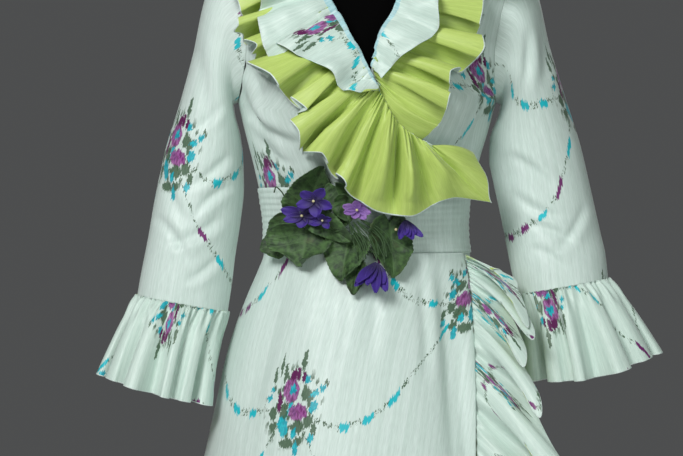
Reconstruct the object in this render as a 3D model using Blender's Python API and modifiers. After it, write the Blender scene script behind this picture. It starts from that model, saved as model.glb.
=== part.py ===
"""A printed taffeta wrap dress with a fluted neck ruffle, standing on a black dress form.

Metres, +Z up. The front faces -Y and the wearer's right is at -X, so the right front is on the
left seen from the front. The origin is the centre of the stand's underside.

Every panel lies on one body surface, which SECTIONS gives as a ring for each height. A place on it
is an angle round the body, from 0 at +X through 90 degrees at the front, and a height.
"""

import math

import bmesh
import bpy
import numpy as np

# Heights of the seams
HEM = 0.045
WAIST_SEAM = 1.030
BAND_TOP = 1.110
UNDERARM = 1.212
SHOULDER_POINT = 1.385
NECK_POINT = 1.421
BACK_NECK = 1.412
SEAM_GAP = 0.0005
SIDE_GAP = 0.0008

# Cloth
CLOTH = 0.0012
BAND_CLOTH = 0.0016
RUFFLE_CLOTH = 0.0012
PETAL_CLOTH = 0.0010
CLOTH_FACE = 0.0006
BAND_FACE = 0.0024
LAP_AT_WAIST = 0.0042
LAP_GROWTH = 0.0080
LAP_FROM = -0.095
LAP_TO = -0.060

# Ring of the body at each height: side reach at -X and +X, depth to the front and to the back
SECTION_COLUMNS = ("height", "left", "right", "front", "back")
SECTIONS = (
    (HEM, -0.352, 0.355, 0.292, 0.302),
    (0.300, -0.298, 0.300, 0.250, 0.262),
    (0.600, -0.233, 0.235, 0.203, 0.216),
    (0.788, -0.192, 0.194, 0.168, 0.182),
    (0.843, -0.180, 0.182, 0.156, 0.170),
    (0.915, -0.164, 0.165, 0.140, 0.152),
    (0.957, -0.150, 0.151, 0.128, 0.137),
    (0.987, -0.138, 0.140, 0.117, 0.121),
    (1.010, -0.128, 0.131, 0.106, 0.104),
    (WAIST_SEAM, -0.121, 0.125, 0.098, 0.090),
    (1.060, -0.120, 0.122, 0.094, 0.086),
    (1.095, -0.124, 0.124, 0.096, 0.088),
    (1.137, -0.133, 0.135, 0.105, 0.094),
    (1.180, -0.144, 0.147, 0.116, 0.100),
    (1.215, -0.152, 0.157, 0.119, 0.104),
    (1.260, -0.160, 0.170, 0.113, 0.107),
    (1.310, -0.167, 0.184, 0.100, 0.107),
    (1.350, -0.170, 0.188, 0.086, 0.101),
    (SHOULDER_POINT, -0.168, 0.186, 0.070, 0.090),
    (1.405, -0.118, 0.134, 0.060, 0.080),
    (NECK_POINT, -0.078, 0.092, 0.052, 0.070),
    (1.440, -0.062, 0.072, 0.046, 0.062),
)

# Bust darts, as a soft fullness at two places on the front
DART_FULLNESS = 0.010
DART_HEIGHT = 1.208
DART_ANGLES = (57.0, 123.0)
DART_SPREAD_ANGLE = 24.0
DART_SPREAD_HEIGHT = 0.045

# Soft folds of the skirt, deepest at the hem
SKIRT_FOLDS = 9
SKIRT_FOLD_DEPTH = 0.013
SKIRT_FOLD_PHASE = 0.6

# Armhole: how far it cuts in from the side, at the front and at the back
ARMHOLE_FRONT = 31.0
ARMHOLE_BACK = 27.0
ARMHOLE_GAP = 0.0008
ARMHOLE_DRAW_IN = 0.975
# How much the sleeve's first rings keep of the armhole's shape, and how far apart they then lie
SLEEVE_HEAD = (1.0, 0.45, 0.12)
SLEEVE_HEAD_STEP = 0.012

# Neckline and wrap edge of the right front, and neckline of the left front, from the bottom up
EDGE_COLUMNS = ("height", "across")
RIGHT_EDGE = (
    (BAND_TOP + SEAM_GAP, 0.0940),
    (1.1380, 0.0840),
    (1.1610, 0.0723),
    (1.1742, 0.0493),
    (1.1874, 0.0326),
    (1.2098, 0.0215),
    (1.2241, 0.0138),
    (1.2483, 0.0003),
    (1.2789, -0.0157),
    (1.3266, -0.0411),
    (1.3750, -0.0620),
    (NECK_POINT, -0.0780),
)
LEFT_EDGE = (
    (BAND_TOP + SEAM_GAP, -0.0500),
    (1.1400, -0.0340),
    (1.1700, -0.0200),
    (1.2000, -0.0080),
    (1.2240, 0.0020),
    (1.2442, 0.0060),
    (1.2679, 0.0107),
    (1.2916, 0.0189),
    (1.3155, 0.0342),
    (1.3500, 0.0490),
    (1.3870, 0.0690),
    (NECK_POINT, 0.0920),
)

# Wrap edge of the skirt's right front, and how far the left front reaches under it
SKIRT_EDGE = (
    (HEM, 0.150),
    (0.300, 0.140),
    (0.600, 0.128),
    (0.804, 0.1215),
    (0.923, 0.1200),
    (0.975, 0.1190),
    (1.010, 0.1160),
    (WAIST_SEAM, 0.1120),
)
UNDERLAP_ANGLE = 76.0

# Waistband tucks
BAND_TUCKS = 4
TUCK_RISE = 0.0011

# Sleeve: outer and inner line, and half depth, from the armhole to the cuff seam
# Columns: outer x and z, inner x and z, half depth, and how far it lies forward or back
SLEEVE_RIGHT = (
    (-0.168, 1.385, -0.1520, 1.212, 0.050, 0.004),
    (-0.184, 1.356, -0.1540, 1.203, 0.053, 0.004),
    (-0.196, 1.318, -0.1520, 1.190, 0.055, 0.004),
    (-0.207, 1.272, -0.1490, 1.170, 0.055, 0.004),
    (-0.222, 1.215, -0.1465, 1.146, 0.054, 0.004),
    (-0.240, 1.155, -0.1460, 1.110, 0.052, 0.003),
    (-0.252, 1.095, -0.1500, 1.070, 0.050, -0.002),
    (-0.259, 1.050, -0.1555, 1.032, 0.049, -0.008),
    (-0.267, 1.008, -0.1600, 0.990, 0.048, -0.014),
    (-0.272, 0.981, -0.1640, 0.961, 0.047, -0.018),
)
SLEEVE_LEFT = (
    (0.186, 1.385, 0.1570, 1.212, 0.050, 0.004),
    (0.200, 1.358, 0.1590, 1.203, 0.053, 0.004),
    (0.211, 1.318, 0.1560, 1.190, 0.055, 0.004),
    (0.223, 1.272, 0.1495, 1.168, 0.055, 0.004),
    (0.241, 1.216, 0.1490, 1.144, 0.054, 0.004),
    (0.259, 1.160, 0.1550, 1.113, 0.052, 0.003),
    (0.274, 1.096, 0.1640, 1.072, 0.050, -0.002),
    (0.282, 1.058, 0.1710, 1.034, 0.049, -0.008),
    (0.288, 1.028, 0.1770, 1.002, 0.048, -0.014),
    (0.290, 1.001, 0.1830, 0.982, 0.047, -0.018),
)

# Cuff flounce: its lower edge, like a sleeve's row, and how far that edge sags and drops behind
FLOUNCE_RIGHT_HEM = (-0.306, 0.886, -0.190, 0.855, 0.074, -0.030)
FLOUNCE_LEFT_HEM = (0.340, 0.913, 0.194, 0.885, 0.076, -0.026)
FLOUNCE_RIGHT_SAG = 0.003
FLOUNCE_LEFT_SAG = 0.013
FLOUNCE_RIGHT_DROP = 0.001
FLOUNCE_LEFT_DROP = 0.007
FLOUNCE_FOLDS = 12
FLOUNCE_FOLD_DEPTH = 0.0085
FLOUNCE_GATHER = 0.0010
FLOUNCE_OVERHANG = 0.42

# Ruffles: where the root and the outer edge lie, how far the edge stands off, how many folds
# there are so far, how deep they are at the edge and how far the row bows sideways. Front rows
# give metres across and round rows give degrees round the body.
RUFFLE_COLUMNS = ("place", "root", "root_z", "edge", "edge_z", "stand", "folds", "depth", "bow")
NECK_RUFFLE_RIGHT = (
    ("round", 269.5, 1.416, 269.5, 1.318, 0.009, 0.00, 0.006, 0.0),
    ("round", 225.0, 1.418, 232.0, 1.330, 0.010, 2.00, 0.007, 0.0),
    ("round", 186.0, 1.420, 187.0, 1.384, 0.018, 3.60, 0.007, 0.0),
    ("round", 168.0, 1.403, 158.0, 1.356, 0.020, 4.50, 0.008, 0.0),
    ("front", -0.0545, 1.3561, -0.1354, 1.3200, 0.015, 5.25, 0.009, 0.0),
    ("front", -0.0429, 1.3310, -0.1272, 1.2890, 0.012, 6.25, 0.010, 0.0),
    ("front", -0.0373, 1.3208, -0.1336, 1.2810, 0.011, 6.75, 0.010, 0.0),
    ("front", -0.0313, 1.3108, -0.1141, 1.2665, 0.011, 7.25, 0.010, 0.0),
    ("front", -0.0257, 1.2993, -0.1213, 1.2533, 0.010, 7.75, 0.010, 0.0),
    ("front", -0.0176, 1.2835, -0.0908, 1.2289, 0.010, 8.25, 0.010, 0.0),
    ("front", -0.0121, 1.2722, -0.0802, 1.2141, 0.009, 8.75, 0.009, 0.0),
    ("front", -0.0052, 1.2592, -0.0592, 1.1957, 0.010, 9.25, 0.010, 0.0),
    ("front", 0.0003, 1.2476, -0.0772, 1.1913, 0.009, 9.75, 0.009, 0.0),
    ("front", 0.0048, 1.2369, -0.0646, 1.1715, 0.010, 10.25, 0.010, 0.0),
    ("front", 0.0092, 1.2304, -0.0664, 1.1528, 0.010, 10.75, 0.009, 0.0),
    ("front", 0.0113, 1.2258, -0.0473, 1.1527, 0.012, 11.25, 0.010, 0.0),
    ("front", 0.0147, 1.2205, -0.0364, 1.1318, 0.014, 11.75, 0.009, 0.0),
    ("front", 0.0178, 1.2151, -0.0227, 1.1195, 0.018, 12.25, 0.009, 0.0),
    ("front", 0.0223, 1.2065, -0.0163, 1.1083, 0.021, 12.75, 0.007, 0.0),
    ("front", 0.0276, 1.1967, 0.0085, 1.0874, 0.024, 13.25, 0.007, 0.0),
    ("front", 0.0343, 1.1865, 0.0278, 1.0817, 0.028, 13.75, 0.005, 0.0),
    ("front", 0.0417, 1.1789, 0.0416, 1.0801, 0.030, 14.25, 0.007, 0.0),
    ("front", 0.0497, 1.1736, 0.0636, 1.0929, 0.032, 14.75, 0.006, 0.0),
    ("front", 0.0582, 1.1685, 0.0840, 1.1064, 0.036, 15.25, 0.007, 0.0),
    ("front", 0.0653, 1.1650, 0.1020, 1.1030, 0.060, 15.70, 0.004, 0.0),
    ("front", 0.0685, 1.1629, 0.1040, 1.1280, 0.055, 16.00, 0.003, 0.0),
    ("front", 0.0706, 1.1620, 0.1085, 1.1566, 0.022, 16.25, 0.002, 0.004),
)
NECK_RUFFLE_LEFT = (
    ("round", -89.5, 1.416, -89.5, 1.318, 0.009, 0.00, 0.006, 0.0),
    ("round", -45.0, 1.418, -52.0, 1.330, 0.010, 1.80, 0.007, 0.0),
    ("round", -6.0, 1.420, -7.0, 1.384, 0.018, 3.25, 0.007, 0.0),
    ("round", 12.0, 1.403, 20.0, 1.360, 0.020, 4.00, 0.008, 0.0),
    ("front", 0.0470, 1.3457, 0.1290, 1.3390, 0.016, 4.75, 0.009, 0.0),
    ("front", 0.0374, 1.3236, 0.1291, 1.3132, 0.012, 5.25, 0.010, 0.0),
    ("front", 0.0305, 1.3110, 0.1217, 1.2853, 0.010, 5.75, 0.010, 0.0),
    ("front", 0.0234, 1.2974, 0.1186, 1.2657, 0.012, 6.25, 0.011, 0.0),
    ("front", 0.0165, 1.2837, 0.1068, 1.2476, 0.009, 6.75, 0.010, 0.0),
    ("front", 0.0118, 1.2692, 0.0874, 1.2352, 0.011, 7.25, 0.011, 0.0),
    ("front", 0.0083, 1.2578, 0.0855, 1.2178, 0.008, 7.75, 0.009, 0.0),
    ("front", 0.0082, 1.2457, 0.0833, 1.2113, 0.009, 8.25, 0.008, 0.0),
    ("front", 0.0106, 1.2345, 0.0805, 1.1920, 0.007, 8.75, 0.005, -0.002),
    ("front", 0.0140, 1.2265, 0.0690, 1.1810, 0.006, 9.20, 0.003, -0.006),
    ("front", 0.0168, 1.2205, 0.0640, 1.1715, 0.005, 9.50, 0.001, -0.0095),
)
NECK_FRILL_RIGHT = (
    ("round", 269.0, 1.419, 269.0, 1.368, 0.018, 0.00, 0.004, 0.0),
    ("round", 225.0, 1.420, 230.0, 1.375, 0.021, 1.25, 0.004, 0.0),
    ("round", 186.0, 1.422, 187.0, 1.399, 0.029, 2.50, 0.004, 0.0),
    ("round", 168.0, 1.405, 162.0, 1.376, 0.031, 3.25, 0.005, 0.0),
    ("front", -0.0515, 1.3495, -0.1024, 1.3300, 0.029, 4.25, 0.005, 0.0),
    ("front", -0.0447, 1.3334, -0.1083, 1.3112, 0.027, 4.75, 0.005, 0.0),
    ("front", -0.0388, 1.3211, -0.1015, 1.2808, 0.026, 5.25, 0.006, 0.0),
    ("front", -0.0332, 1.3120, -0.0945, 1.2590, 0.028, 5.60, 0.005, 0.0),
    ("front", -0.0309, 1.3073, -0.0875, 1.2485, 0.028, 5.85, 0.003, 0.0),
    ("front", -0.0286, 1.3046, -0.0850, 1.2677, 0.026, 6.10, 0.003, 0.0),
    ("front", -0.0218, 1.2917, -0.0676, 1.2581, 0.024, 6.50, 0.004, 0.0),
    ("front", -0.0118, 1.2721, -0.0484, 1.2447, 0.024, 6.90, 0.004, 0.0),
    ("front", -0.0051, 1.2594, -0.0324, 1.2350, 0.022, 7.20, 0.004, 0.0),
    ("front", 0.0004, 1.2476, -0.0284, 1.2241, 0.019, 7.50, 0.003, 0.0),
    ("front", 0.0058, 1.2363, -0.0163, 1.2175, 0.018, 7.90, 0.003, 0.0),
    ("front", 0.0111, 1.2263, -0.0008, 1.2177, 0.015, 8.30, 0.001, 0.0),
    ("front", 0.0128, 1.2235, 0.0110, 1.2185, 0.013, 8.50, 0.001, 0.0),
)
NECK_FRILL_LEFT = (
    ("round", -89.0, 1.419, -89.0, 1.368, 0.018, 0.00, 0.004, 0.0),
    ("round", -45.0, 1.420, -50.0, 1.375, 0.021, 1.25, 0.004, 0.0),
    ("round", -6.0, 1.422, -7.0, 1.399, 0.029, 2.50, 0.004, 0.0),
    ("round", 12.0, 1.405, 17.0, 1.378, 0.030, 3.25, 0.004, 0.0),
    ("front", 0.0509, 1.3547, 0.0740, 1.3430, 0.027, 4.25, 0.004, 0.0),
    ("front", 0.0440, 1.3386, 0.0765, 1.3263, 0.026, 4.75, 0.004, 0.0),
    ("front", 0.0392, 1.3286, 0.0759, 1.3078, 0.026, 5.25, 0.004, 0.0),
    ("front", 0.0323, 1.3125, 0.0768, 1.2910, 0.025, 5.60, 0.004, 0.0),
    ("front", 0.0254, 1.3007, 0.0680, 1.2766, 0.024, 5.90, 0.003, 0.0),
    ("front", 0.0184, 1.2874, 0.0512, 1.2644, 0.022, 6.20, 0.003, 0.0),
    ("front", 0.0127, 1.2725, 0.0362, 1.2537, 0.019, 6.50, 0.003, 0.0),
    ("front", 0.0093, 1.2566, 0.0260, 1.2409, 0.016, 6.80, 0.002, 0.0),
    ("front", 0.0081, 1.2445, 0.0175, 1.2324, 0.012, 7.20, 0.001, 0.0),
)

# Skirt ruffle: root height, how far the edge reaches sideways, forward and down
SKIRT_RUFFLE_COLUMNS = ("root_z", "reach", "forward", "drop", "folds", "depth")
SKIRT_RUFFLE = (
    (1.0285, 0.046, 0.006, 0.028, 0.00, 0.004),
    (1.0200, 0.048, 0.010, 0.040, 0.25, 0.007),
    (1.0020, 0.060, 0.016, 0.066, 1.25, 0.012),
    (0.9620, 0.068, 0.022, 0.070, 2.25, 0.014),
    (0.9180, 0.076, 0.028, 0.086, 3.25, 0.015),
    (0.8620, 0.082, 0.030, 0.080, 4.25, 0.015),
    (0.6000, 0.084, 0.034, 0.080, 8.50, 0.014),
    (0.3000, 0.084, 0.034, 0.080, 13.0, 0.014),
    (0.1500, 0.084, 0.034, 0.076, 15.25, 0.012),
    (0.0780, 0.074, 0.028, 0.030, 16.25, 0.006),
)
SKIRT_RUFFLE_OUTWARD = (0.25, -0.97, 0.0)
SKIRT_RUFFLE_LEAN = 1.2
SKIRT_RUFFLE_OVERHANG = 0.5
SKIRT_RUFFLE_GAP = 0.010
SKIRT_RUFFLE_GATHER = 0.0012
OVER_RUFFLE_ROOT = 0.0072
UNDER_RUFFLE_ROOT = 0.0034
OVER_FRILL_ROOT = 0.0116
UNDER_FRILL_ROOT = 0.0084
RUFFLE_GATHER = 0.0006
RUFFLE_OVERHANG = 0.80

# Samples
SAMPLES_PER_FOLD = 7
SKIRT_RUFFLE_SAMPLES = 6
FLOUNCE_SAMPLES = 6
PANEL_ROWS = 11
FRONT_COLUMNS = 11
HALF_BACK_COLUMNS = 8
BAND_COLUMNS = 26
SKIRT_ROWS = 9
SKIRT_RIGHT_COLUMNS = 17
SKIRT_LEFT_COLUMNS = 10
SKIRT_BACK_COLUMNS = 23
SKIRT_ROW_CROWDING = 1.6
SKIRT_SEAM_ANGLE = 0.003
FORM_COLUMNS = 22
POLE_SIDES = 16
BASE_SIDES = 32
RUFFLE_ROWS = (0.0, 0.35, 0.68, 1.0)
SKIRT_RUFFLE_ROWS = (0.0, 0.33, 0.66, 1.0)
FLOUNCE_ROWS = (0.0, 0.40, 1.0)
SLEEVE_AROUND = 16
BODY_RADIUS = 0.14

# Corsage, in the view from the front: place across and up, direction of the leaf's tip in
# degrees from +X, length, half width, stand-off at the base and at the tip
# Columns: name, x, z, turn, length, half_width, base, tip
LEAVES = (
    ("corsage_leaf_top", -0.0674, 1.0833, 65.0, 0.056, 0.024, 0.0080, 0.0100),
    ("corsage_leaf_left", -0.0970, 1.0720, 262.0, 0.052, 0.015, 0.0095, 0.0120),
    ("corsage_leaf_low", -0.0641, 1.0600, 265.0, 0.050, 0.029, 0.0120, 0.0150),
    ("corsage_leaf_middle", -0.0549, 1.0668, 340.0, 0.048, 0.018, 0.0170, 0.0195),
    ("corsage_leaf_inner", -0.0216, 1.0412, 262.0, 0.048, 0.021, 0.0095, 0.0110),
    ("corsage_leaf_tail", -0.0093, 1.0111, 262.0, 0.033, 0.010, 0.0145, 0.0155),
    ("corsage_leaf_right", 0.0287, 1.0681, 275.0, 0.070, 0.020, 0.0100, 0.0120),
)
# Columns: name, x, z, radius, turn of the petals in degrees, stand-off, depth of the cup
VIOLETS = (
    ("violet_upper", -0.0504, 1.0958, 0.0175, 20.0, 0.030, 0.004),
    ("violet_lower", -0.0640, 1.0775, 0.0175, 50.0, 0.022, 0.004),
    ("violet_half_open", -0.0415, 1.0715, 0.0105, 80.0, 0.0300, 0.004),
    ("violet_pale", -0.0088, 1.0840, 0.0125, 10.0, 0.0240, 0.003),
    ("violet_right", 0.0425, 1.0600, 0.0150, 40.0, 0.0200, 0.005),
    ("violet_hanging", 0.0095, 0.9990, 0.0175, 65.0, 0.0215, 0.005),
)
# Stems: points across, up and standing off
STEM_RADIUS = 0.0010
STEMS = {
    "corsage_stem_1": (
        (-0.0128, 1.069, 0.0235), (-0.004, 1.050, 0.0240), (0.002, 1.033, 0.0250), (0.004, 1.020, 0.0235),
    ),
    "corsage_stem_2": (
        (-0.0090, 1.070, 0.0235), (0.003, 1.055, 0.0240), (0.011, 1.038, 0.0250), (0.014, 1.021, 0.0235),
    ),
    "corsage_stem_3": (
        (-0.0050, 1.072, 0.0235), (0.009, 1.061, 0.0240), (0.019, 1.042, 0.0250), (0.023, 1.018, 0.0235),
    ),
    "corsage_stem_4": (
        (-0.0165, 1.068, 0.0240), (-0.012, 1.052, 0.0240), (-0.006, 1.034, 0.0240), (-0.004, 1.021, 0.0235),
    ),
    "corsage_stem_5": (
        (-0.0968, 1.106, 0.0160), (-0.094, 1.113, 0.0165), (-0.086, 1.104, 0.0165), (-0.083, 1.092, 0.0165),
    ),
}

# Dress form and stand
FORM_BOTTOM = 0.810
# Torso: height and how far it lies inside the body surface. Neck: height and half sizes.
FORM_RINGS = (
    (FORM_BOTTOM, 0.046),
    (0.825, 0.036),
    (0.870, 0.026),
    (0.920, 0.015),
    (0.970, 0.008),
    (1.030, 0.0065),
    (1.075, 0.0065),
    (1.125, 0.0065),
    (1.170, 0.0065),
    (1.210, 0.0065),
    (1.260, 0.0065),
    (1.310, 0.0065),
    (1.350, 0.0085),
    (1.376, 0.0140),
    (1.392, 0.0180),
)
FORM_TOP = 1.505
FORM_NECK = ((1.408, 0.066, 0.056), (1.430, 0.055, 0.053), (1.490, 0.052, 0.052), (FORM_TOP, 0.045, 0.046))
FORM_NECK_CENTRE = (0.007, 0.012)
POLE_RADIUS = 0.0140
BASE_RADIUS = 0.190
BASE_HEIGHT = 0.008
BASE_BEVEL = 0.002

COLOURS = {
    "printed_taffeta": ((0.60, 0.72, 0.66), 0.45, 0.0),
    "chartreuse_taffeta": ((0.42, 0.56, 0.10), 0.42, 0.0),
    "violet_petal": ((0.10, 0.03, 0.42), 0.60, 0.0),
    "pale_petal": ((0.32, 0.14, 0.50), 0.60, 0.0),
    "leaf_green": ((0.07, 0.17, 0.05), 0.60, 0.0),
    "black_jersey": ((0.006, 0.006, 0.006), 0.85, 0.0),
    "black_steel": ((0.02, 0.02, 0.02), 0.40, 0.6),
}


def clear_scene():
    for thing in list(bpy.data.objects):
        bpy.data.objects.remove(thing)
    for collection in list(bpy.data.collections):
        bpy.data.collections.remove(collection)
    dress = bpy.data.collections.new("taffeta_dress")
    bpy.context.scene.collection.children.link(dress)
    return dress


def make_material(name):
    colour, roughness, metallic = COLOURS[name]
    material = bpy.data.materials.get(name) or bpy.data.materials.new(name)
    material.use_nodes = True
    shader = material.node_tree.nodes["Principled BSDF"]
    shader.inputs["Base Color"].default_value = (*colour, 1.0)
    shader.inputs["Roughness"].default_value = roughness
    shader.inputs["Metallic"].default_value = metallic
    return material


def smooth_curve(xs, ys, at):
    """A cubic through the points that doesn't overshoot them."""
    xs = np.asarray(xs, float)
    ys = np.asarray(ys, float)
    at = np.clip(np.asarray(at, float), xs[0], xs[-1])
    steps = np.diff(xs)
    slopes = np.diff(ys) / steps
    tangents = np.zeros_like(ys)
    tangents[0], tangents[-1] = slopes[0], slopes[-1]
    for i in range(1, len(xs) - 1):
        if slopes[i - 1] * slopes[i] > 0:
            before, after = 2 * steps[i] + steps[i - 1], steps[i] + 2 * steps[i - 1]
            tangents[i] = (before + after) / (before / slopes[i - 1] + after / slopes[i])
    i = np.clip(np.searchsorted(xs, at, side="right") - 1, 0, len(xs) - 2)
    u = (at - xs[i]) / steps[i]
    return (
        ys[i] * (1 + 2 * u) * (1 - u) ** 2
        + tangents[i] * steps[i] * u * (1 - u) ** 2
        + ys[i + 1] * u * u * (3 - 2 * u)
        + tangents[i + 1] * steps[i] * u * u * (u - 1)
    )


def column(table, columns, name):
    return [row[columns.index(name)] for row in table]


def smooth_step(low, high, at):
    u = np.clip((np.asarray(at, float) - low) / (high - low), 0, 1)
    return u * u * (3 - 2 * u)


def section(z):
    """Side reach at -X and +X, and depth to the front and to the back, at a height."""
    heights = column(SECTIONS, SECTION_COLUMNS, "height")
    return [
        smooth_curve(heights, column(SECTIONS, SECTION_COLUMNS, name), z)
        for name in SECTION_COLUMNS[1:]
    ]


def bare_body(angle, z):
    """Points of the body surface, before any stand-off."""
    left, right, front, back = section(z)
    depth = np.where(np.sin(angle) >= 0, front, back)
    x = (left + right) / 2 + (right - left) / 2 * np.cos(angle)
    return np.stack([x, -depth * np.sin(angle), z + 0 * x], axis=-1)


def fullness(angle, z):
    """How far darts and the skirt's soft folds push the cloth out."""
    up = np.exp(-(((z - DART_HEIGHT) / DART_SPREAD_HEIGHT) ** 2))
    round_body = sum(
        np.exp(-(((np.degrees(angle) - at) / DART_SPREAD_ANGLE) ** 2)) for at in DART_ANGLES
    )
    down = np.clip((WAIST_SEAM - z) / (WAIST_SEAM - HEM), 0, 1) ** 1.4
    folds = 0.5 + 0.5 * np.cos(SKIRT_FOLDS * angle + SKIRT_FOLD_PHASE)
    return DART_FULLNESS * up * round_body + SKIRT_FOLD_DEPTH * down * folds


def on_body(angle, z, stand):
    """Points that stand off the body surface along its normal. Angles are in radians."""
    angle, z, stand = np.broadcast_arrays(
        np.asarray(angle, float), np.asarray(z, float), np.asarray(stand, float)
    )
    step = 1e-4
    around = bare_body(angle + step, z) - bare_body(angle - step, z)
    up = bare_body(angle, z + step) - bare_body(angle, z - step)
    normal = np.cross(up, around)
    normal /= np.linalg.norm(normal, axis=-1, keepdims=True)
    return bare_body(angle, z) + normal * (stand + fullness(angle, z))[..., None]


def angle_across(x, z):
    """The angle of the front surface's point that is x across."""
    left, right, _, _ = section(z)
    return np.arccos(np.clip((x - (left + right) / 2) / ((right - left) / 2), -1, 1))


def lap(angle, z):
    """Extra stand-off of a front that wraps over the other, none near its own side seam."""
    x = bare_body(angle, z)[..., 0]
    drop = np.clip((WAIST_SEAM - z) / (WAIST_SEAM - HEM), 0, 1)
    return (LAP_AT_WAIST + LAP_GROWTH * drop) * smooth_step(LAP_FROM, LAP_TO, x)


def finish_mesh(dress, name, material, verts, faces, thickness, offset):
    """One named object with smooth faces, and a wall if it has a thickness."""
    mesh = bpy.data.meshes.new(name)
    mesh.from_pydata([tuple(v) for v in verts], [], faces)
    mesh.shade_smooth()
    mesh.materials.append(make_material(material))
    thing = bpy.data.objects.new(name, mesh)
    dress.objects.link(thing)
    if thickness:
        wall = thing.modifiers.new("wall", "SOLIDIFY")
        wall.thickness = thickness
        wall.offset = offset
    return thing


def sheet_of(dress, name, material, grid, thickness, offset=-1.0, closed=False, flip=False):
    """A wall through a grid of points. Rows run up or outwards and columns run round."""
    rows, columns = grid.shape[:2]
    faces = []
    for i in range(rows - 1):
        for j in range(columns if closed else columns - 1):
            k = (j + 1) % columns
            face = (i * columns + j, (i + 1) * columns + j, (i + 1) * columns + k, i * columns + k)
            faces.append(face[::-1] if flip else face)
    return finish_mesh(dress, name, material, grid.reshape(-1, 3), faces, thickness, offset)


def panel_grid(start, end, columns, layer=None):
    """Points between two edges, each an (angles, heights) pair of arrays."""
    share = np.linspace(0, 1, columns)[None, :]
    angle = start[0][:, None] * (1 - share) + end[0][:, None] * share
    z = start[1][:, None] * (1 - share) + end[1][:, None] * share
    return on_body(angle, z, CLOTH_FACE + (layer(angle, z) if layer else 0.0))


def side_and_armhole(side, cut_in):
    """The bodice's edge from the waist up its side seam and round the armhole to the shoulder.

    side is the side seam's angle, and cut_in is the armhole's, signed the way the panel lies."""
    seam_rows = PANEL_ROWS // 2
    seam_z = np.linspace(BAND_TOP + SEAM_GAP, UNDERARM, seam_rows)
    turn = np.linspace(math.pi, 0, PANEL_ROWS - seam_rows + 1)[1:]
    middle, half = (SHOULDER_POINT + UNDERARM) / 2, (SHOULDER_POINT - UNDERARM) / 2
    angles = np.concatenate([np.full(seam_rows, side), side + cut_in * np.sin(turn)])
    return angles, np.concatenate([seam_z, middle + half * np.cos(turn)])


def neck_edge(table):
    """A front's edge from the waist up to the neck point, a row for each of the table's."""
    z = np.array(column(table, EDGE_COLUMNS, "height"))
    x = np.array(column(table, EDGE_COLUMNS, "across"))
    return angle_across(x, z), z


def with_shoulder(edge, side):
    """Adds the shoulder seam's row to a side edge."""
    return np.append(edge[0], side), np.append(edge[1], SHOULDER_POINT)


def make_bodice(dress):
    fronts = (
        ("bodice_front_right", math.pi, -1, RIGHT_EDGE, lap),
        ("bodice_front_left", 0.0, 1, LEFT_EDGE, None),
    )
    for name, side, turn, table, layer in fronts:
        cut = turn * math.radians(ARMHOLE_FRONT)
        edges = with_shoulder(side_and_armhole(side, cut), side), neck_edge(table)
        grid = panel_grid(*edges[::turn], FRONT_COLUMNS, layer)
        grid[..., 1] = np.minimum(grid[..., 1], -SIDE_GAP)
        sheet_of(dress, name, "printed_taffeta", grid, CLOTH)
    cut = math.radians(ARMHOLE_BACK)
    right = with_shoulder(side_and_armhole(math.pi, cut), math.pi)
    left = with_shoulder(side_and_armhole(2 * math.pi, -cut), 2 * math.pi)
    rows = len(right[0])
    middle = np.full(rows, 1.5 * math.pi), np.linspace(right[1][0], BACK_NECK, rows)
    halves = (
        panel_grid(right, middle, HALF_BACK_COLUMNS),
        panel_grid(middle, left, HALF_BACK_COLUMNS)[:, 1:],
    )
    grid = np.concatenate(halves, axis=1)
    grid[-1] = shoulder_and_back_neck(grid.shape[1])
    grid[..., 1] = np.maximum(grid[..., 1], SIDE_GAP)
    sheet_of(dress, "bodice_back", "printed_taffeta", grid, CLOTH)


def shoulder_and_back_neck(columns):
    """The back's top row: up one shoulder seam, round the back neck and down the other."""
    share = np.linspace(-1, 1, columns)
    round_neck = np.clip(np.abs(share) / 0.5, 0, 1)
    down_shoulder = np.clip((np.abs(share) - 0.5) / 0.5, 0, 1)
    angle = 1.5 * math.pi + np.sign(share) * (math.pi / 2) * round_neck
    z = BACK_NECK + (NECK_POINT - BACK_NECK) * round_neck**2
    return on_body(angle, z - (NECK_POINT - SHOULDER_POINT) * down_shoulder, CLOTH_FACE)


def make_waistband(dress):
    angles = np.linspace(0, 2 * math.pi, BAND_COLUMNS, endpoint=False)
    tuck = (BAND_TOP - WAIST_SEAM) / (BAND_TUCKS + 1)
    rows = [WAIST_SEAM + SEAM_GAP]
    stands = [BAND_FACE]
    for i in range(1, BAND_TUCKS + 1):
        middle = WAIST_SEAM + i * tuck
        rows += [middle - 0.18 * tuck, middle + 0.28 * tuck]
        stands += [BAND_FACE + TUCK_RISE, BAND_FACE]
    rows.append(BAND_TOP)
    stands.append(BAND_FACE)
    grid = on_body(angles[None, :], np.array(rows)[:, None], np.array(stands)[:, None])
    sheet_of(dress, "waistband", "printed_taffeta", grid, BAND_CLOTH, closed=True)


def skirt_heights():
    """Rows of the skirt, closer together at the hip, where it curves most."""
    share = np.linspace(0, 1, SKIRT_ROWS) ** SKIRT_ROW_CROWDING
    return (WAIST_SEAM - SEAM_GAP) - (WAIST_SEAM - SEAM_GAP - HEM) * share[::-1]


def skirt_edge_angle(z):
    heights = column(SKIRT_EDGE, EDGE_COLUMNS, "height")
    return angle_across(smooth_curve(heights, column(SKIRT_EDGE, EDGE_COLUMNS, "across"), z), z)


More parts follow.
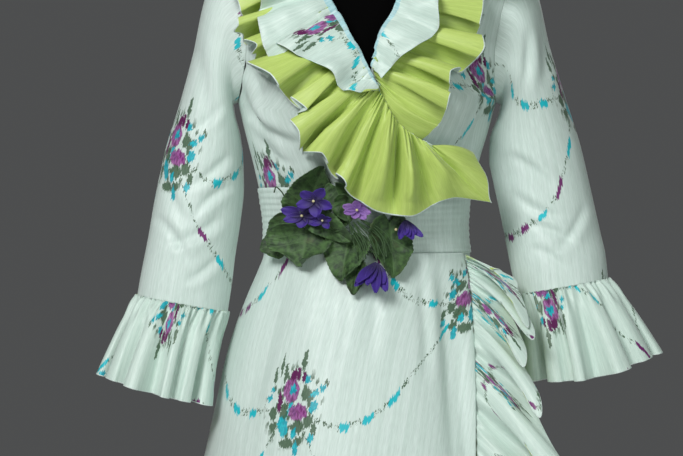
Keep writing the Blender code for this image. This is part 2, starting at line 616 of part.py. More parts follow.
def make_skirt(dress):
    z = skirt_heights()
    fixed = np.ones(len(z))
    left_seam, right_seam = fixed * SKIRT_SEAM_ANGLE, fixed * (math.pi - SKIRT_SEAM_ANGLE)
    grid = panel_grid((skirt_edge_angle(z), z), (right_seam, z), SKIRT_RIGHT_COLUMNS, lap)
    sheet_of(dress, "skirt_front_right", "printed_taffeta", grid, CLOTH)
    underlap = fixed * math.radians(UNDERLAP_ANGLE)
    grid = panel_grid((left_seam, z), (underlap, z), SKIRT_LEFT_COLUMNS)
    sheet_of(dress, "skirt_front_left", "printed_taffeta", grid, CLOTH)
    back = (2 * math.pi - right_seam, z), (2 * math.pi - left_seam, z)
    grid = panel_grid(*back, SKIRT_BACK_COLUMNS)
    sheet_of(dress, "skirt_back", "printed_taffeta", grid, CLOTH)


def sleeve_ring(row, psi):
    """One ring, from the outer line round the front to the inner line and back."""
    outer_x, outer_z, inner_x, inner_z, depth, forward = row
    outer, inner = np.array([outer_x, forward, outer_z]), np.array([inner_x, forward, inner_z])
    centre, reach = (outer + inner) / 2, (outer - inner) / 2
    across = np.cos(psi)[:, None] * reach
    return centre + across + np.sin(psi)[:, None] * np.array([0.0, -depth, 0.0])


def armhole_ring(side, psi):
    """The armhole's edge, drawn in a little so that the sleeve clears the bodice."""
    middle, half = (SHOULDER_POINT + UNDERARM) / 2, (SHOULDER_POINT - UNDERARM) / 2
    front = np.sin(psi) >= 0
    cut = np.where(front, math.radians(ARMHOLE_FRONT), math.radians(ARMHOLE_BACK)) * np.sin(psi)
    angle = ARMHOLE_DRAW_IN * cut if side > 0 else math.pi - ARMHOLE_DRAW_IN * cut
    hole = on_body(angle, middle + ARMHOLE_DRAW_IN * half * np.cos(psi), CLOTH_FACE)
    return hole + side * np.array([ARMHOLE_GAP, 0.0, 0.0])


def make_sleeve(dress, name, table, side):
    psi = np.linspace(0, 2 * math.pi, SLEEVE_AROUND, endpoint=False)
    rings = [sleeve_ring(row, psi) for row in table]
    hole = armhole_ring(side, psi)
    for i, share in enumerate(SLEEVE_HEAD):
        step = np.array([i * side * SLEEVE_HEAD_STEP, 0.0, 0.0])
        rings[i] = share * (hole + step) + (1 - share) * rings[i]
    grid = np.array(rings)
    sheet_of(dress, name, "printed_taffeta", grid, CLOTH, closed=True, flip=side < 0)


def fold_phases(folds, samples):
    """Phases in radians, so many samples for each fold."""
    return np.linspace(0, 2 * math.pi * folds, int(round(folds * samples)) + 1)


def make_flounce(dress, name, top_row, hem_row, sag, drop, side):
    phase = fold_phases(FLOUNCE_FOLDS, FLOUNCE_SAMPLES)[:-1]
    grid = []
    for share in FLOUNCE_ROWS:
        flare = share**0.8
        row = [a * (1 - flare) + b * flare for a, b in zip(top_row, hem_row)]
        for i in (1, 3):
            row[i] = top_row[i] * (1 - share) + hem_row[i] * share - SEAM_GAP
        psi = (phase - FLOUNCE_OVERHANG * share * np.sin(2 * phase)) / FLOUNCE_FOLDS
        ring = sleeve_ring(row, psi)
        outward = ring - ring.mean(axis=0)
        outward /= np.linalg.norm(outward, axis=1, keepdims=True)
        depth = FLOUNCE_GATHER + (FLOUNCE_FOLD_DEPTH - FLOUNCE_GATHER) * share
        ring = ring + outward * (depth * np.sin(phase))[:, None]
        ring[:, 2] -= share * (sag * np.sin(psi) ** 2 + drop * np.clip(-np.sin(psi), 0, 1))
        grid.append(ring)
    sheet_of(
        dress, name, "printed_taffeta", np.array(grid), RUFFLE_CLOTH,
        offset=0.0, closed=True, flip=side > 0,
    )


def ruffle_guides(table):
    """The number of folds, and a function of the phase for each of a ruffle's columns."""
    root, edge = [], []
    for place, root_at, root_z, edge_at, edge_z in [row[:5] for row in table]:
        on_front = place == "front"
        root.append(angle_across(root_at, root_z) if on_front else math.radians(root_at))
        edge.append(angle_across(edge_at, edge_z) if on_front else math.radians(edge_at))
    folds = column(table, RUFFLE_COLUMNS, "folds")
    values = {name: column(table, RUFFLE_COLUMNS, name) for name in RUFFLE_COLUMNS}
    values |= {"root": root, "edge": edge}
    turns = np.array(folds) * 2 * math.pi
    return folds[-1], lambda name, phase: smooth_curve(turns, values[name], phase)


def make_ruffle(dress, name, material, table, flip, root_stand):
    """A fluted strip that follows the body, gathered at its root and open at its edge."""
    folds, guide = ruffle_guides(table)
    phase = fold_phases(folds, SAMPLES_PER_FOLD)
    grid = []
    for share in RUFFLE_ROWS:
        place = phase - RUFFLE_OVERHANG * share * np.sin(2 * phase)
        across = guide("edge", place) - guide("root", place)
        up = guide("edge_z", place) - guide("root_z", place)
        bow = 4 * share * (1 - share) * guide("bow", place)
        length = np.hypot(BODY_RADIUS * across, up)
        angle = guide("root", place) + across * share + bow * up / length / BODY_RADIUS
        z = guide("root_z", place) + up * share - bow * BODY_RADIUS * across / length
        stand = root_stand * (1 - share) + np.maximum(guide("stand", place), root_stand) * share
        depth = RUFFLE_GATHER + (guide("depth", place) - RUFFLE_GATHER) * share**0.9
        grid.append(on_body(angle, z, stand + depth * (1 + np.sin(phase))))
    sheet_of(dress, name, material, np.array(grid), RUFFLE_CLOTH, offset=0.0, flip=flip)


def make_skirt_ruffle(dress):
    """The gathered ruffle on the skirt's wrap edge, whose folds hang down and outwards."""
    names = SKIRT_RUFFLE_COLUMNS
    folds = np.array(column(SKIRT_RUFFLE, names, "folds")) * 2 * math.pi

    def guide(name, phase):
        return smooth_curve(folds, column(SKIRT_RUFFLE, names, name), phase)

    phase = fold_phases(folds[-1] / (2 * math.pi), SKIRT_RUFFLE_SAMPLES)
    grid = []
    for share in SKIRT_RUFFLE_ROWS:
        depth = guide("depth", phase) - SKIRT_RUFFLE_GATHER
        depth = SKIRT_RUFFLE_GATHER + depth * share**0.8
        height = depth * (1 + np.sin(phase))
        place = phase - SKIRT_RUFFLE_OVERHANG * share * np.sin(2 * phase)
        spacing = np.gradient(guide("root_z", phase), phase)
        place = place - SKIRT_RUFFLE_LEAN * share * (height - depth) / spacing
        root_z = guide("root_z", np.clip(place, 0, folds[-1]))
        edge = skirt_edge_angle(root_z)
        root = on_body(edge - SKIRT_RUFFLE_GAP, root_z, CLOTH_FACE + lap(edge, root_z))
        reach = np.stack(
            [guide("reach", phase), -guide("forward", phase), -guide("drop", phase)], axis=-1
        )
        normal = height[:, None] * np.array(SKIRT_RUFFLE_OUTWARD)
        grid.append(root + reach * share + normal)
    sheet_of(
        dress, "skirt_ruffle", "printed_taffeta", np.array(grid), RUFFLE_CLOTH,
        offset=0.0, flip=False,
    )


def make_leaf(dress, name, x, z, turn, length, half_width, base, tip):
    """A heart-shaped leaf that lies over the waist, a little cupped along its midrib."""
    along = np.linspace(0.0, 1.0, 7)[:, None]
    across = np.linspace(-1.0, 1.0, 5)[None, :]
    outline = np.sin(math.pi * np.clip(0.04 + 0.94 * along**0.62, 0, 1)) ** 0.75
    width = (0.0012 + half_width * outline) * across
    reach = length * along - 0.16 * length * np.abs(across) * (1 - along) ** 2
    ahead = math.radians(turn)
    px = x + reach * math.cos(ahead) - width * math.sin(ahead)
    pz = z + reach * math.sin(ahead) + width * math.cos(ahead)
    stand = base + (tip - base) * along + 0.10 * half_width * across**2
    grid = on_body(angle_across(px, pz), pz, stand)
    sheet_of(dress, name, "leaf_green", grid, PETAL_CLOTH, offset=0.0, flip=True)


def make_violet(dress, name, x, z, radius, turn, stand, cup):
    """Five petals in one cupped sheet, with a small raised centre."""
    petals, around = 5, 15
    theta = np.linspace(0, 2 * math.pi, around, endpoint=False)
    wave = np.abs(np.cos(petals * (theta - math.radians(turn)) / 2))
    verts = [on_body(angle_across(x, z), z, stand + 0.0012)]
    rings = (0.16, 0.55, 1.0)
    for share in rings:
        reach = radius * share * (1 - share * 0.42 * (1 - wave**0.7))
        px, pz = x + reach * np.cos(theta), z + reach * np.sin(theta)
        rise = cup * share**1.6 + 0.0018 * share * wave
        verts += list(on_body(angle_across(px, pz), pz, stand + rise))
    faces = [(0, 1 + (k + 1) % around, 1 + k) for k in range(around)]
    for i in range(len(rings) - 1):
        low, high = 1 + i * around, 1 + (i + 1) * around
        for k in range(around):
            n = (k + 1) % around
            faces.append((low + k, low + n, high + n, high + k))
    faces = [face[::-1] for face in faces]
    petal = "pale_petal" if name == "violet_pale" else "violet_petal"
    finish_mesh(dress, name, petal, verts, faces, PETAL_CLOTH, 0.0)


def make_stem(dress, name, points):
    """A thin wired stem through a few points, as a tube on a curve."""
    ends = np.arange(len(points), dtype=float)
    at = np.linspace(0, len(points) - 1, 7)
    x, z, stand = (smooth_curve(ends, [p[i] for p in points], at) for i in range(3))
    route = on_body(angle_across(x, z), z, stand)
    curve = bpy.data.curves.new(name, "CURVE")
    curve.dimensions = "3D"
    curve.bevel_depth = STEM_RADIUS
    curve.bevel_resolution = 1
    curve.use_fill_caps = True
    spline = curve.splines.new("POLY")
    spline.points.add(len(route) - 1)
    for point, place in zip(spline.points, route):
        point.co = (*place, 1.0)
    curve.materials.append(make_material("leaf_green"))
    dress.objects.link(bpy.data.objects.new(name, curve))


def make_form(dress):
    """The limbless form inside the dress: torso, neck and a flat neck cap, as one loft."""
    angles = np.linspace(0, 2 * math.pi, FORM_COLUMNS, endpoint=False)
    rings = []
    for z, inset in FORM_RINGS:
        rings.append(on_body(angles, np.full(len(angles), z), -inset))
    rings[0][:, 2] = FORM_BOTTOM
    for z, half_width, half_depth in FORM_NECK:
        x = FORM_NECK_CENTRE[0] + half_width * np.cos(angles)
        y = FORM_NECK_CENTRE[1] - half_depth * np.sin(angles)
        rings.append(np.stack([x, y, np.full(len(angles), z)], axis=-1))
    form = sheet_of(dress, "dress_form", "black_jersey", np.array(rings), 0.0, closed=True)
    work = bmesh.new()
    work.from_mesh(form.data)
    bmesh.ops.holes_fill(work, edges=[e for e in work.edges if e.is_boundary], sides=0)
    bmesh.ops.recalc_face_normals(work, faces=work.faces)
    work.to_mesh(form.data)
    work.free()


def add_cylinder(dress, name, material, radius, low, high, sides):
    bpy.ops.mesh.primitive_cylinder_add(
        vertices=sides, radius=radius, depth=high - low, location=(0, 0, (low + high) / 2)
    )
    thing = bpy.context.object
    thing.name = name
    thing.data.materials.append(make_material(material))
    for collection in list(thing.users_collection):
        collection.objects.unlink(thing)
    dress.objects.link(thing)
    return thing


def make_stand(dress):
    add_cylinder(
        dress, "form_pole", "black_steel", POLE_RADIUS,
        BASE_HEIGHT + SEAM_GAP, FORM_BOTTOM - SEAM_GAP, POLE_SIDES,
    )
    base = add_cylinder(
        dress, "form_base", "black_steel", BASE_RADIUS, 0.0, BASE_HEIGHT, BASE_SIDES,
    )
    bevel = base.modifiers.new("rounded_rim", "BEVEL")
    bevel.width = BASE_BEVEL
    bevel.segments = 2
    bevel.limit_method = "ANGLE"


def main():
    dress = clear_scene()
    make_bodice(dress)
    make_waistband(dress)
    make_skirt(dress)
    make_sleeve(dress, "sleeve_right", SLEEVE_RIGHT, -1)
    make_sleeve(dress, "sleeve_left", SLEEVE_LEFT, 1)
    make_flounce(
        dress, "cuff_flounce_right", SLEEVE_RIGHT[-1], FLOUNCE_RIGHT_HEM,
        FLOUNCE_RIGHT_SAG, FLOUNCE_RIGHT_DROP, -1,
    )
    make_flounce(
        dress, "cuff_flounce_left", SLEEVE_LEFT[-1], FLOUNCE_LEFT_HEM,
        FLOUNCE_LEFT_SAG, FLOUNCE_LEFT_DROP, 1,
    )
    lime, print_side = "chartreuse_taffeta", "printed_taffeta"
    make_ruffle(dress, "neck_ruffle_right", lime, NECK_RUFFLE_RIGHT, False, OVER_RUFFLE_ROOT)
    make_ruffle(dress, "neck_ruffle_left", lime, NECK_RUFFLE_LEFT, True, UNDER_RUFFLE_ROOT)
    make_ruffle(dress, "neck_frill_right", print_side, NECK_FRILL_RIGHT, False, OVER_FRILL_ROOT)
    make_ruffle(dress, "neck_frill_left", print_side, NECK_FRILL_LEFT, True, UNDER_FRILL_ROOT)
    make_skirt_ruffle(dress)
    for leaf in LEAVES:
        make_leaf(dress, *leaf)
    for violet in VIOLETS:
        make_violet(dress, *violet)
    for name, points in STEMS.items():
        make_stem(dress, name, points)
    make_form(dress)
    make_stand(dress)


main()
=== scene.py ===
"""Looks of a flower-printed taffeta wrap dress on a black dress form.

Metres, +Z up. The front faces -Y and the wearer's right is at -X. Every cloth piece is a fine sheet on
the surface that its solid follows: a place on the body is an angle round it, from 0 at +X through 90
degrees at the front, and a height. Each sheet keeps a UV map in metres, its flat cut, so that the print
and the ribs follow the cloth.
"""

import math

import bpy
import numpy as np
from bpy.props import FloatProperty, FloatVectorProperty, IntProperty, PointerProperty
from bpy.types import Operator, Panel, PropertyGroup
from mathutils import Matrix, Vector


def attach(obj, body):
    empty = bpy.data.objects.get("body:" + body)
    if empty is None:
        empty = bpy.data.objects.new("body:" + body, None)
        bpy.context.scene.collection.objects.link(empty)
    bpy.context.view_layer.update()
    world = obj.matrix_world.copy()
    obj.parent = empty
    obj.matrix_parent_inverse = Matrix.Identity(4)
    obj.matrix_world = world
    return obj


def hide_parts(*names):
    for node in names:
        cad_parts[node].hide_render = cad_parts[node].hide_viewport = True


bl_info = {
    "name": "Taffeta dress",
    "version": (1, 0, 0),
    "blender": (4, 5, 0),
    "location": "View3D > Sidebar > Dress",
    "description": "Builds the cloth, corsage, form and stage of a printed taffeta wrap dress",
    "category": "Object",
}

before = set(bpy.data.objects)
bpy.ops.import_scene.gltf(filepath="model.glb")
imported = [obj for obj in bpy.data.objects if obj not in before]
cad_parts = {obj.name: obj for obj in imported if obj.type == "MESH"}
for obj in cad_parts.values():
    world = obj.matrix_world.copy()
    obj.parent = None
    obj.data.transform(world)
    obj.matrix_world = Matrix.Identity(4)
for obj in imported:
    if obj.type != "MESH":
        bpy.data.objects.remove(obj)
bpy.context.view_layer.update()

# Heights of the seams
HEM = 0.045
WAIST_SEAM = 1.030
BAND_TOP = 1.110
UNDERARM = 1.212
SHOULDER_POINT = 1.385
NECK_POINT = 1.421
BACK_NECK = 1.412
SEAM_GAP = 0.0005
SIDE_GAP = 0.0001
TUCKED_IN = 0.0015

# How far the faces of the cloth stand off the body surface
CLOTH_FACE = 0.0006
BAND_FACE = 0.0024
LAP_AT_WAIST = 0.0042
LAP_GROWTH = 0.0080
LAP_FROM = -0.095
LAP_TO = -0.060

# Ring of the body at each height: side reach at -X and +X, depth to the front and to the back
SECTION_COLUMNS = ("height", "left", "right", "front", "back")
SECTIONS = (
    (HEM, -0.352, 0.355, 0.292, 0.302),
    (0.300, -0.298, 0.300, 0.250, 0.262),
    (0.600, -0.233, 0.235, 0.203, 0.216),
    (0.788, -0.192, 0.194, 0.168, 0.182),
    (0.843, -0.180, 0.182, 0.156, 0.170),
    (0.915, -0.164, 0.165, 0.140, 0.152),
    (0.957, -0.150, 0.151, 0.128, 0.137),
    (0.987, -0.138, 0.140, 0.117, 0.121),
    (1.010, -0.128, 0.131, 0.106, 0.104),
    (WAIST_SEAM, -0.121, 0.125, 0.098, 0.090),
    (1.060, -0.120, 0.122, 0.094, 0.086),
    (1.095, -0.124, 0.124, 0.096, 0.088),
    (1.137, -0.133, 0.135, 0.105, 0.094),
    (1.180, -0.144, 0.147, 0.116, 0.100),
    (1.215, -0.152, 0.157, 0.119, 0.104),
    (1.260, -0.160, 0.170, 0.113, 0.107),
    (1.310, -0.167, 0.184, 0.100, 0.107),
    (1.350, -0.170, 0.188, 0.086, 0.101),
    (SHOULDER_POINT, -0.168, 0.186, 0.070, 0.090),
    (1.405, -0.118, 0.134, 0.060, 0.080),
    (NECK_POINT, -0.078, 0.092, 0.052, 0.070),
    (1.440, -0.062, 0.072, 0.046, 0.062),
)

# Bust darts, as a soft fullness at two places on the front
DART_FULLNESS = 0.010
DART_HEIGHT = 1.208
DART_ANGLES = (57.0, 123.0)
DART_SPREAD_ANGLE = 24.0
DART_SPREAD_HEIGHT = 0.045

# Soft folds of the skirt, deepest at the hem
SKIRT_FOLDS = 9
SKIRT_FOLD_DEPTH = 0.013
SKIRT_FOLD_PHASE = 0.6
SKIRT_FOLD_GROWTH = 1.4

# Armhole: how far it cuts in from the side in degrees, at the front and at the back. The sleeve's
# first rings keep these shares of its shape, each a step further out.
ARMHOLE_FRONT = 31.0
ARMHOLE_BACK = 27.0
ARMHOLE_MIDDLE = (SHOULDER_POINT + UNDERARM) / 2
ARMHOLE_HALF = (SHOULDER_POINT - UNDERARM) / 2
SLEEVE_HEAD = (1.0, 0.45, 0.12)
SLEEVE_HEAD_STEP = 0.012

# Neckline and wrap edge of the right front, and neckline of the left front, from the bottom up
EDGE_COLUMNS = ("height", "across")
RIGHT_EDGE = (
    (BAND_TOP + SEAM_GAP, 0.0940), (1.1380, 0.0840), (1.1610, 0.0723), (1.1742, 0.0493),
    (1.1874, 0.0326), (1.2098, 0.0215), (1.2241, 0.0138), (1.2483, 0.0003),
    (1.2789, -0.0157), (1.3266, -0.0411), (1.3750, -0.0620), (NECK_POINT, -0.0780),
)
LEFT_EDGE = (
    (BAND_TOP + SEAM_GAP, -0.0500), (1.1400, -0.0340), (1.1700, -0.0200), (1.2000, -0.0080),
    (1.2240, 0.0020), (1.2442, 0.0060), (1.2679, 0.0107), (1.2916, 0.0189),
    (1.3155, 0.0342), (1.3500, 0.0490), (1.3870, 0.0690), (NECK_POINT, 0.0920),
)
# On the scale of those tables' rows, where the side seam ends and where the armhole does
SIDE_SEAM_END = 4
ARMHOLE_END = 10

# Wrap edge of the skirt's right front, and how far the left front reaches under it
SKIRT_EDGE = (
    (HEM, 0.150), (0.300, 0.140), (0.600, 0.128), (0.804, 0.1215),
    (0.923, 0.1200), (0.975, 0.1190), (1.010, 0.1160), (WAIST_SEAM, 0.1120),
)
UNDERLAP_ANGLE = 76.0
SKIRT_SEAM_ANGLE = 0.002

# Sleeve rows: outer x and z, inner x and z, half depth, and how far it lies forward or back
SLEEVE_RIGHT = (
    (-0.168, 1.385, -0.1520, 1.212, 0.050, 0.004),
    (-0.184, 1.356, -0.1540, 1.203, 0.053, 0.004),
    (-0.196, 1.318, -0.1520, 1.190, 0.055, 0.004),
    (-0.207, 1.272, -0.1490, 1.170, 0.055, 0.004),
    (-0.222, 1.215, -0.1465, 1.146, 0.054, 0.004),
    (-0.240, 1.155, -0.1460, 1.110, 0.052, 0.003),
    (-0.252, 1.095, -0.1500, 1.070, 0.050, -0.002),
    (-0.259, 1.050, -0.1555, 1.032, 0.049, -0.008),
    (-0.267, 1.008, -0.1600, 0.990, 0.048, -0.014),
    (-0.272, 0.981, -0.1640, 0.961, 0.047, -0.018),
)
SLEEVE_LEFT = (
    (0.186, 1.385, 0.1570, 1.212, 0.050, 0.004),
    (0.200, 1.358, 0.1590, 1.203, 0.053, 0.004),
    (0.211, 1.318, 0.1560, 1.190, 0.055, 0.004),
    (0.223, 1.272, 0.1495, 1.168, 0.055, 0.004),
    (0.241, 1.216, 0.1490, 1.144, 0.054, 0.004),
    (0.259, 1.160, 0.1550, 1.113, 0.052, 0.003),
    (0.274, 1.096, 0.1640, 1.072, 0.050, -0.002),
    (0.282, 1.058, 0.1710, 1.034, 0.049, -0.008),
    (0.288, 1.028, 0.1770, 1.002, 0.048, -0.014),
    (0.290, 1.001, 0.1830, 0.982, 0.047, -0.018),
)

# Cuff flounce: its lower edge, like a sleeve's row, and how far that edge sags and drops behind
FLOUNCE_RIGHT = ((-0.306, 0.886, -0.190, 0.855, 0.074, -0.030), 0.003, 0.001)
FLOUNCE_LEFT = ((0.340, 0.913, 0.194, 0.885, 0.076, -0.026), 0.013, 0.007)
FLOUNCE_FOLDS = 12
FLOUNCE_FOLD_DEPTH = 0.0125
FLOUNCE_GATHER = 0.0012
FLOUNCE_OVERHANG = 0.46
FLOUNCE_PUCKER = 0.0024
# Slow waves round a cuff, each as size, number and phase: how far its folds vary in depth, and how
# far they lie off an even spacing
FLOUNCE_SWELL = ((0.34, 5, 0.8), (0.20, 3, 0.0))
FLOUNCE_DRIFT = ((1.1, 4, 1.2), (0.55, 9, 0.0))

# Ruffles: where the root and the outer edge lie, how far the edge stands off, how many folds
# there are so far, how deep they are at the edge and how far the row bows sideways, where it
# does. Front rows give metres across and round rows give degrees round the body.
RUFFLE_COLUMNS = ("place", "root", "root_z", "edge", "edge_z", "stand", "folds", "depth", "bow")
NECK_RUFFLE_RIGHT = (
    ("round", 269.5, 1.416, 269.5, 1.318, 0.009, 0.00, 0.006),
    ("round", 225.0, 1.418, 232.0, 1.330, 0.010, 2.00, 0.007),
    ("round", 186.0, 1.420, 187.0, 1.384, 0.018, 3.60, 0.007),
    ("round", 168.0, 1.403, 158.0, 1.356, 0.020, 4.50, 0.008),
    ("front", -0.0545, 1.3561, -0.1354, 1.3200, 0.015, 5.25, 0.009),
    ("front", -0.0429, 1.3310, -0.1272, 1.2890, 0.012, 6.25, 0.010),
    ("front", -0.0373, 1.3208, -0.1336, 1.2810, 0.011, 6.75, 0.010),
    ("front", -0.0313, 1.3108, -0.1141, 1.2665, 0.011, 7.25, 0.010),
    ("front", -0.0257, 1.2993, -0.1213, 1.2533, 0.010, 7.75, 0.010),
    ("front", -0.0176, 1.2835, -0.0908, 1.2289, 0.010, 8.25, 0.010),
    ("front", -0.0121, 1.2722, -0.0802, 1.2141, 0.009, 8.75, 0.009),
    ("front", -0.0052, 1.2592, -0.0592, 1.1957, 0.010, 9.25, 0.010),
    ("front", 0.0003, 1.2476, -0.0772, 1.1913, 0.009, 9.75, 0.009),
    ("front", 0.0048, 1.2369, -0.0646, 1.1715, 0.010, 10.25, 0.010),
    ("front", 0.0092, 1.2304, -0.0664, 1.1528, 0.010, 10.75, 0.009),
    ("front", 0.0113, 1.2258, -0.0473, 1.1527, 0.012, 11.25, 0.010),
    ("front", 0.0147, 1.2205, -0.0364, 1.1318, 0.014, 11.75, 0.009),
    ("front", 0.0178, 1.2151, -0.0227, 1.1195, 0.018, 12.25, 0.009),
    ("front", 0.0223, 1.2065, -0.0163, 1.1083, 0.021, 12.75, 0.009),
    ("front", 0.0276, 1.1967, 0.0085, 1.0874, 0.024, 13.25, 0.010),
    ("front", 0.0343, 1.1865, 0.0278, 1.0817, 0.028, 13.75, 0.009),
    ("front", 0.0417, 1.1789, 0.0416, 1.0801, 0.030, 14.25, 0.009),
    ("front", 0.0497, 1.1736, 0.0636, 1.0929, 0.032, 14.75, 0.006),
    ("front", 0.0582, 1.1685, 0.0840, 1.1064, 0.036, 15.25, 0.006),
    ("front", 0.0653, 1.1650, 0.1020, 1.1030, 0.060, 15.70, 0.004),
    ("front", 0.0685, 1.1629, 0.1040, 1.1280, 0.055, 16.00, 0.003),
    ("front", 0.0706, 1.1620, 0.1085, 1.1566, 0.022, 16.25, 0.002, 0.004),
)
NECK_RUFFLE_LEFT = (
    ("round", -89.5, 1.416, -89.5, 1.318, 0.009, 0.00, 0.006),
    ("round", -45.0, 1.418, -52.0, 1.330, 0.010, 1.80, 0.007),
    ("round", -6.0, 1.420, -7.0, 1.384, 0.018, 3.25, 0.007),
    ("round", 12.0, 1.403, 20.0, 1.360, 0.020, 4.00, 0.008),
    ("front", 0.0470, 1.3457, 0.1290, 1.3390, 0.016, 4.75, 0.009),
    ("front", 0.0374, 1.3236, 0.1291, 1.3132, 0.012, 5.25, 0.010),
    ("front", 0.0305, 1.3110, 0.1217, 1.2853, 0.010, 5.75, 0.010),
    ("front", 0.0234, 1.2974, 0.1186, 1.2657, 0.012, 6.25, 0.011),
    ("front", 0.0165, 1.2837, 0.1068, 1.2476, 0.009, 6.75, 0.010),
    ("front", 0.0118, 1.2692, 0.0874, 1.2352, 0.011, 7.25, 0.011),
    ("front", 0.0083, 1.2578, 0.0855, 1.2178, 0.008, 7.75, 0.009),
    ("front", 0.0082, 1.2457, 0.0833, 1.2113, 0.009, 8.25, 0.008),
    ("front", 0.0106, 1.2345, 0.0805, 1.1920, 0.007, 8.75, 0.006, -0.004),
    ("front", 0.0140, 1.2265, 0.0690, 1.1780, 0.005, 9.20, 0.003, -0.010),
    ("front", 0.0160, 1.2180, 0.0600, 1.1660, 0.003, 9.50, 0.001, -0.016),
)
NECK_FRILL_RIGHT = (
    ("round", 269.0, 1.419, 269.0, 1.368, 0.018, 0.00, 0.004),
    ("round", 225.0, 1.420, 230.0, 1.375, 0.021, 1.25, 0.004),
    ("round", 186.0, 1.422, 187.0, 1.399, 0.029, 2.50, 0.004),
    ("round", 168.0, 1.405, 162.0, 1.376, 0.031, 3.25, 0.005),
    ("front", -0.0515, 1.3495, -0.1024, 1.3300, 0.029, 4.25, 0.005),
    ("front", -0.0447, 1.3334, -0.1083, 1.3112, 0.027, 4.75, 0.005),
    ("front", -0.0388, 1.3211, -0.1015, 1.2808, 0.026, 5.25, 0.006),
    ("front", -0.0332, 1.3120, -0.0945, 1.2590, 0.028, 5.60, 0.005),
    ("front", -0.0309, 1.3073, -0.0875, 1.2485, 0.028, 5.85, 0.003),
    ("front", -0.0286, 1.3046, -0.0850, 1.2677, 0.026, 6.10, 0.003),
    ("front", -0.0218, 1.2917, -0.0676, 1.2581, 0.024, 6.50, 0.004),
    ("front", -0.0118, 1.2721, -0.0484, 1.2447, 0.024, 6.90, 0.004),
    ("front", -0.0051, 1.2594, -0.0324, 1.2350, 0.022, 7.20, 0.004),
    ("front", 0.0004, 1.2476, -0.0284, 1.2241, 0.019, 7.50, 0.003),
    ("front", 0.0058, 1.2363, -0.0163, 1.2175, 0.018, 7.90, 0.003),
    ("front", 0.0111, 1.2263, -0.0008, 1.2177, 0.015, 8.30, 0.001),
    ("front", 0.0128, 1.2235, 0.0110, 1.2185, 0.013, 8.50, 0.001),
)
NECK_FRILL_LEFT = (
    ("round", -89.0, 1.419, -89.0, 1.368, 0.018, 0.00, 0.004),
    ("round", -45.0, 1.420, -50.0, 1.375, 0.021, 1.25, 0.004),
    ("round", -6.0, 1.422, -7.0, 1.399, 0.029, 2.50, 0.004),
    ("round", 12.0, 1.405, 17.0, 1.378, 0.030, 3.25, 0.004),
    ("front", 0.0509, 1.3547, 0.0740, 1.3430, 0.027, 4.25, 0.004),
    ("front", 0.0440, 1.3386, 0.0765, 1.3263, 0.026, 4.75, 0.004),
    ("front", 0.0392, 1.3286, 0.0759, 1.3078, 0.026, 5.25, 0.004),
    ("front", 0.0323, 1.3125, 0.0768, 1.2910, 0.025, 5.60, 0.004),
    ("front", 0.0254, 1.3007, 0.0680, 1.2766, 0.024, 5.90, 0.003),
    ("front", 0.0184, 1.2874, 0.0512, 1.2644, 0.022, 6.20, 0.003),
    ("front", 0.0127, 1.2725, 0.0362, 1.2537, 0.019, 6.50, 0.003),
    ("front", 0.0093, 1.2566, 0.0260, 1.2409, 0.016, 6.80, 0.002),
    ("front", 0.0081, 1.2445, 0.0175, 1.2324, 0.012, 7.20, 0.001),
)
OVER_RUFFLE_ROOT = 0.0072
UNDER_RUFFLE_ROOT = 0.0034
OVER_FRILL_ROOT = 0.0116
UNDER_FRILL_ROOT = 0.0084
RUFFLE_GATHER = 0.0006
RUFFLE_UNEVEN = 0.22
RUFFLE_LEAN = 0.25
RUFFLE_DEEPER = 1.5
FRILL_LIFT = 0.0045
BOUND_ROWS = 4
SMOOTH_LOBE = (12.2, 13.4)
BODY_RADIUS = 0.14
# How a strip is fluted: how far crests overhang, how deep the puckers at its root are, and how far
# its valleys draw the edge in. Dents are the small hollows between root and edge.
RUFFLE_FLUTES = {"overhang": 1.25, "pucker": 0.0048, "pull": 0.13}
FRILL_FLUTES = {"overhang": 0.6, "pucker": 0.0024, "pull": 0.03}
RUFFLE_DENT = 0.0012

# Skirt ruffle: root height, how far the edge reaches sideways, forward and down
SKIRT_RUFFLE_COLUMNS = ("root_z", "reach", "forward", "drop", "folds", "depth")
SKIRT_RUFFLE = (
    (1.0285, 0.050, 0.006, 0.020, 0.00, 0.004),
    (1.0245, 0.052, 0.010, 0.022, 0.60, 0.006),
    (1.0190, 0.052, 0.014, 0.024, 1.25, 0.011),
    (1.0040, 0.058, 0.020, 0.037, 2.25, 0.011),
    (0.9780, 0.047, 0.024, 0.042, 3.25, 0.012),
    (0.9420, 0.060, 0.028, 0.052, 4.25, 0.014),
    (0.8820, 0.084, 0.030, 0.080, 5.25, 0.015),
    (0.8150, 0.086, 0.032, 0.082, 6.25, 0.015),
    (0.6000, 0.084, 0.034, 0.080, 9.50, 0.014),
    (0.3000, 0.084, 0.034, 0.080, 14.0, 0.014),
    (0.1500, 0.084, 0.034, 0.076, 16.25, 0.012),
    (0.0780, 0.074, 0.028, 0.030, 17.25, 0.006),
)
SKIRT_RUFFLE_OUTWARD = (0.25, -0.97, 0.0)
SKIRT_RUFFLE_LEAN = 1.0
SKIRT_RUFFLE_OVERHANG = 0.75
SKIRT_RUFFLE_GAP = 0.010
SKIRT_RUFFLE_GATHER = 0.0012
SKIRT_RUFFLE_PUFF = 1.6
SKIRT_RUFFLE_TIP_SHIFT = 0.9
SKIRT_RUFFLE_PUCKER = 0.0040

# Width of the rolled hem as a share of each strip's depth
FLOUNCE_ROLL = 0.0010 / 0.095
RUFFLE_ROLL = 0.0011 / 0.075
SKIRT_RUFFLE_ROLL = 0.0011 / 0.11

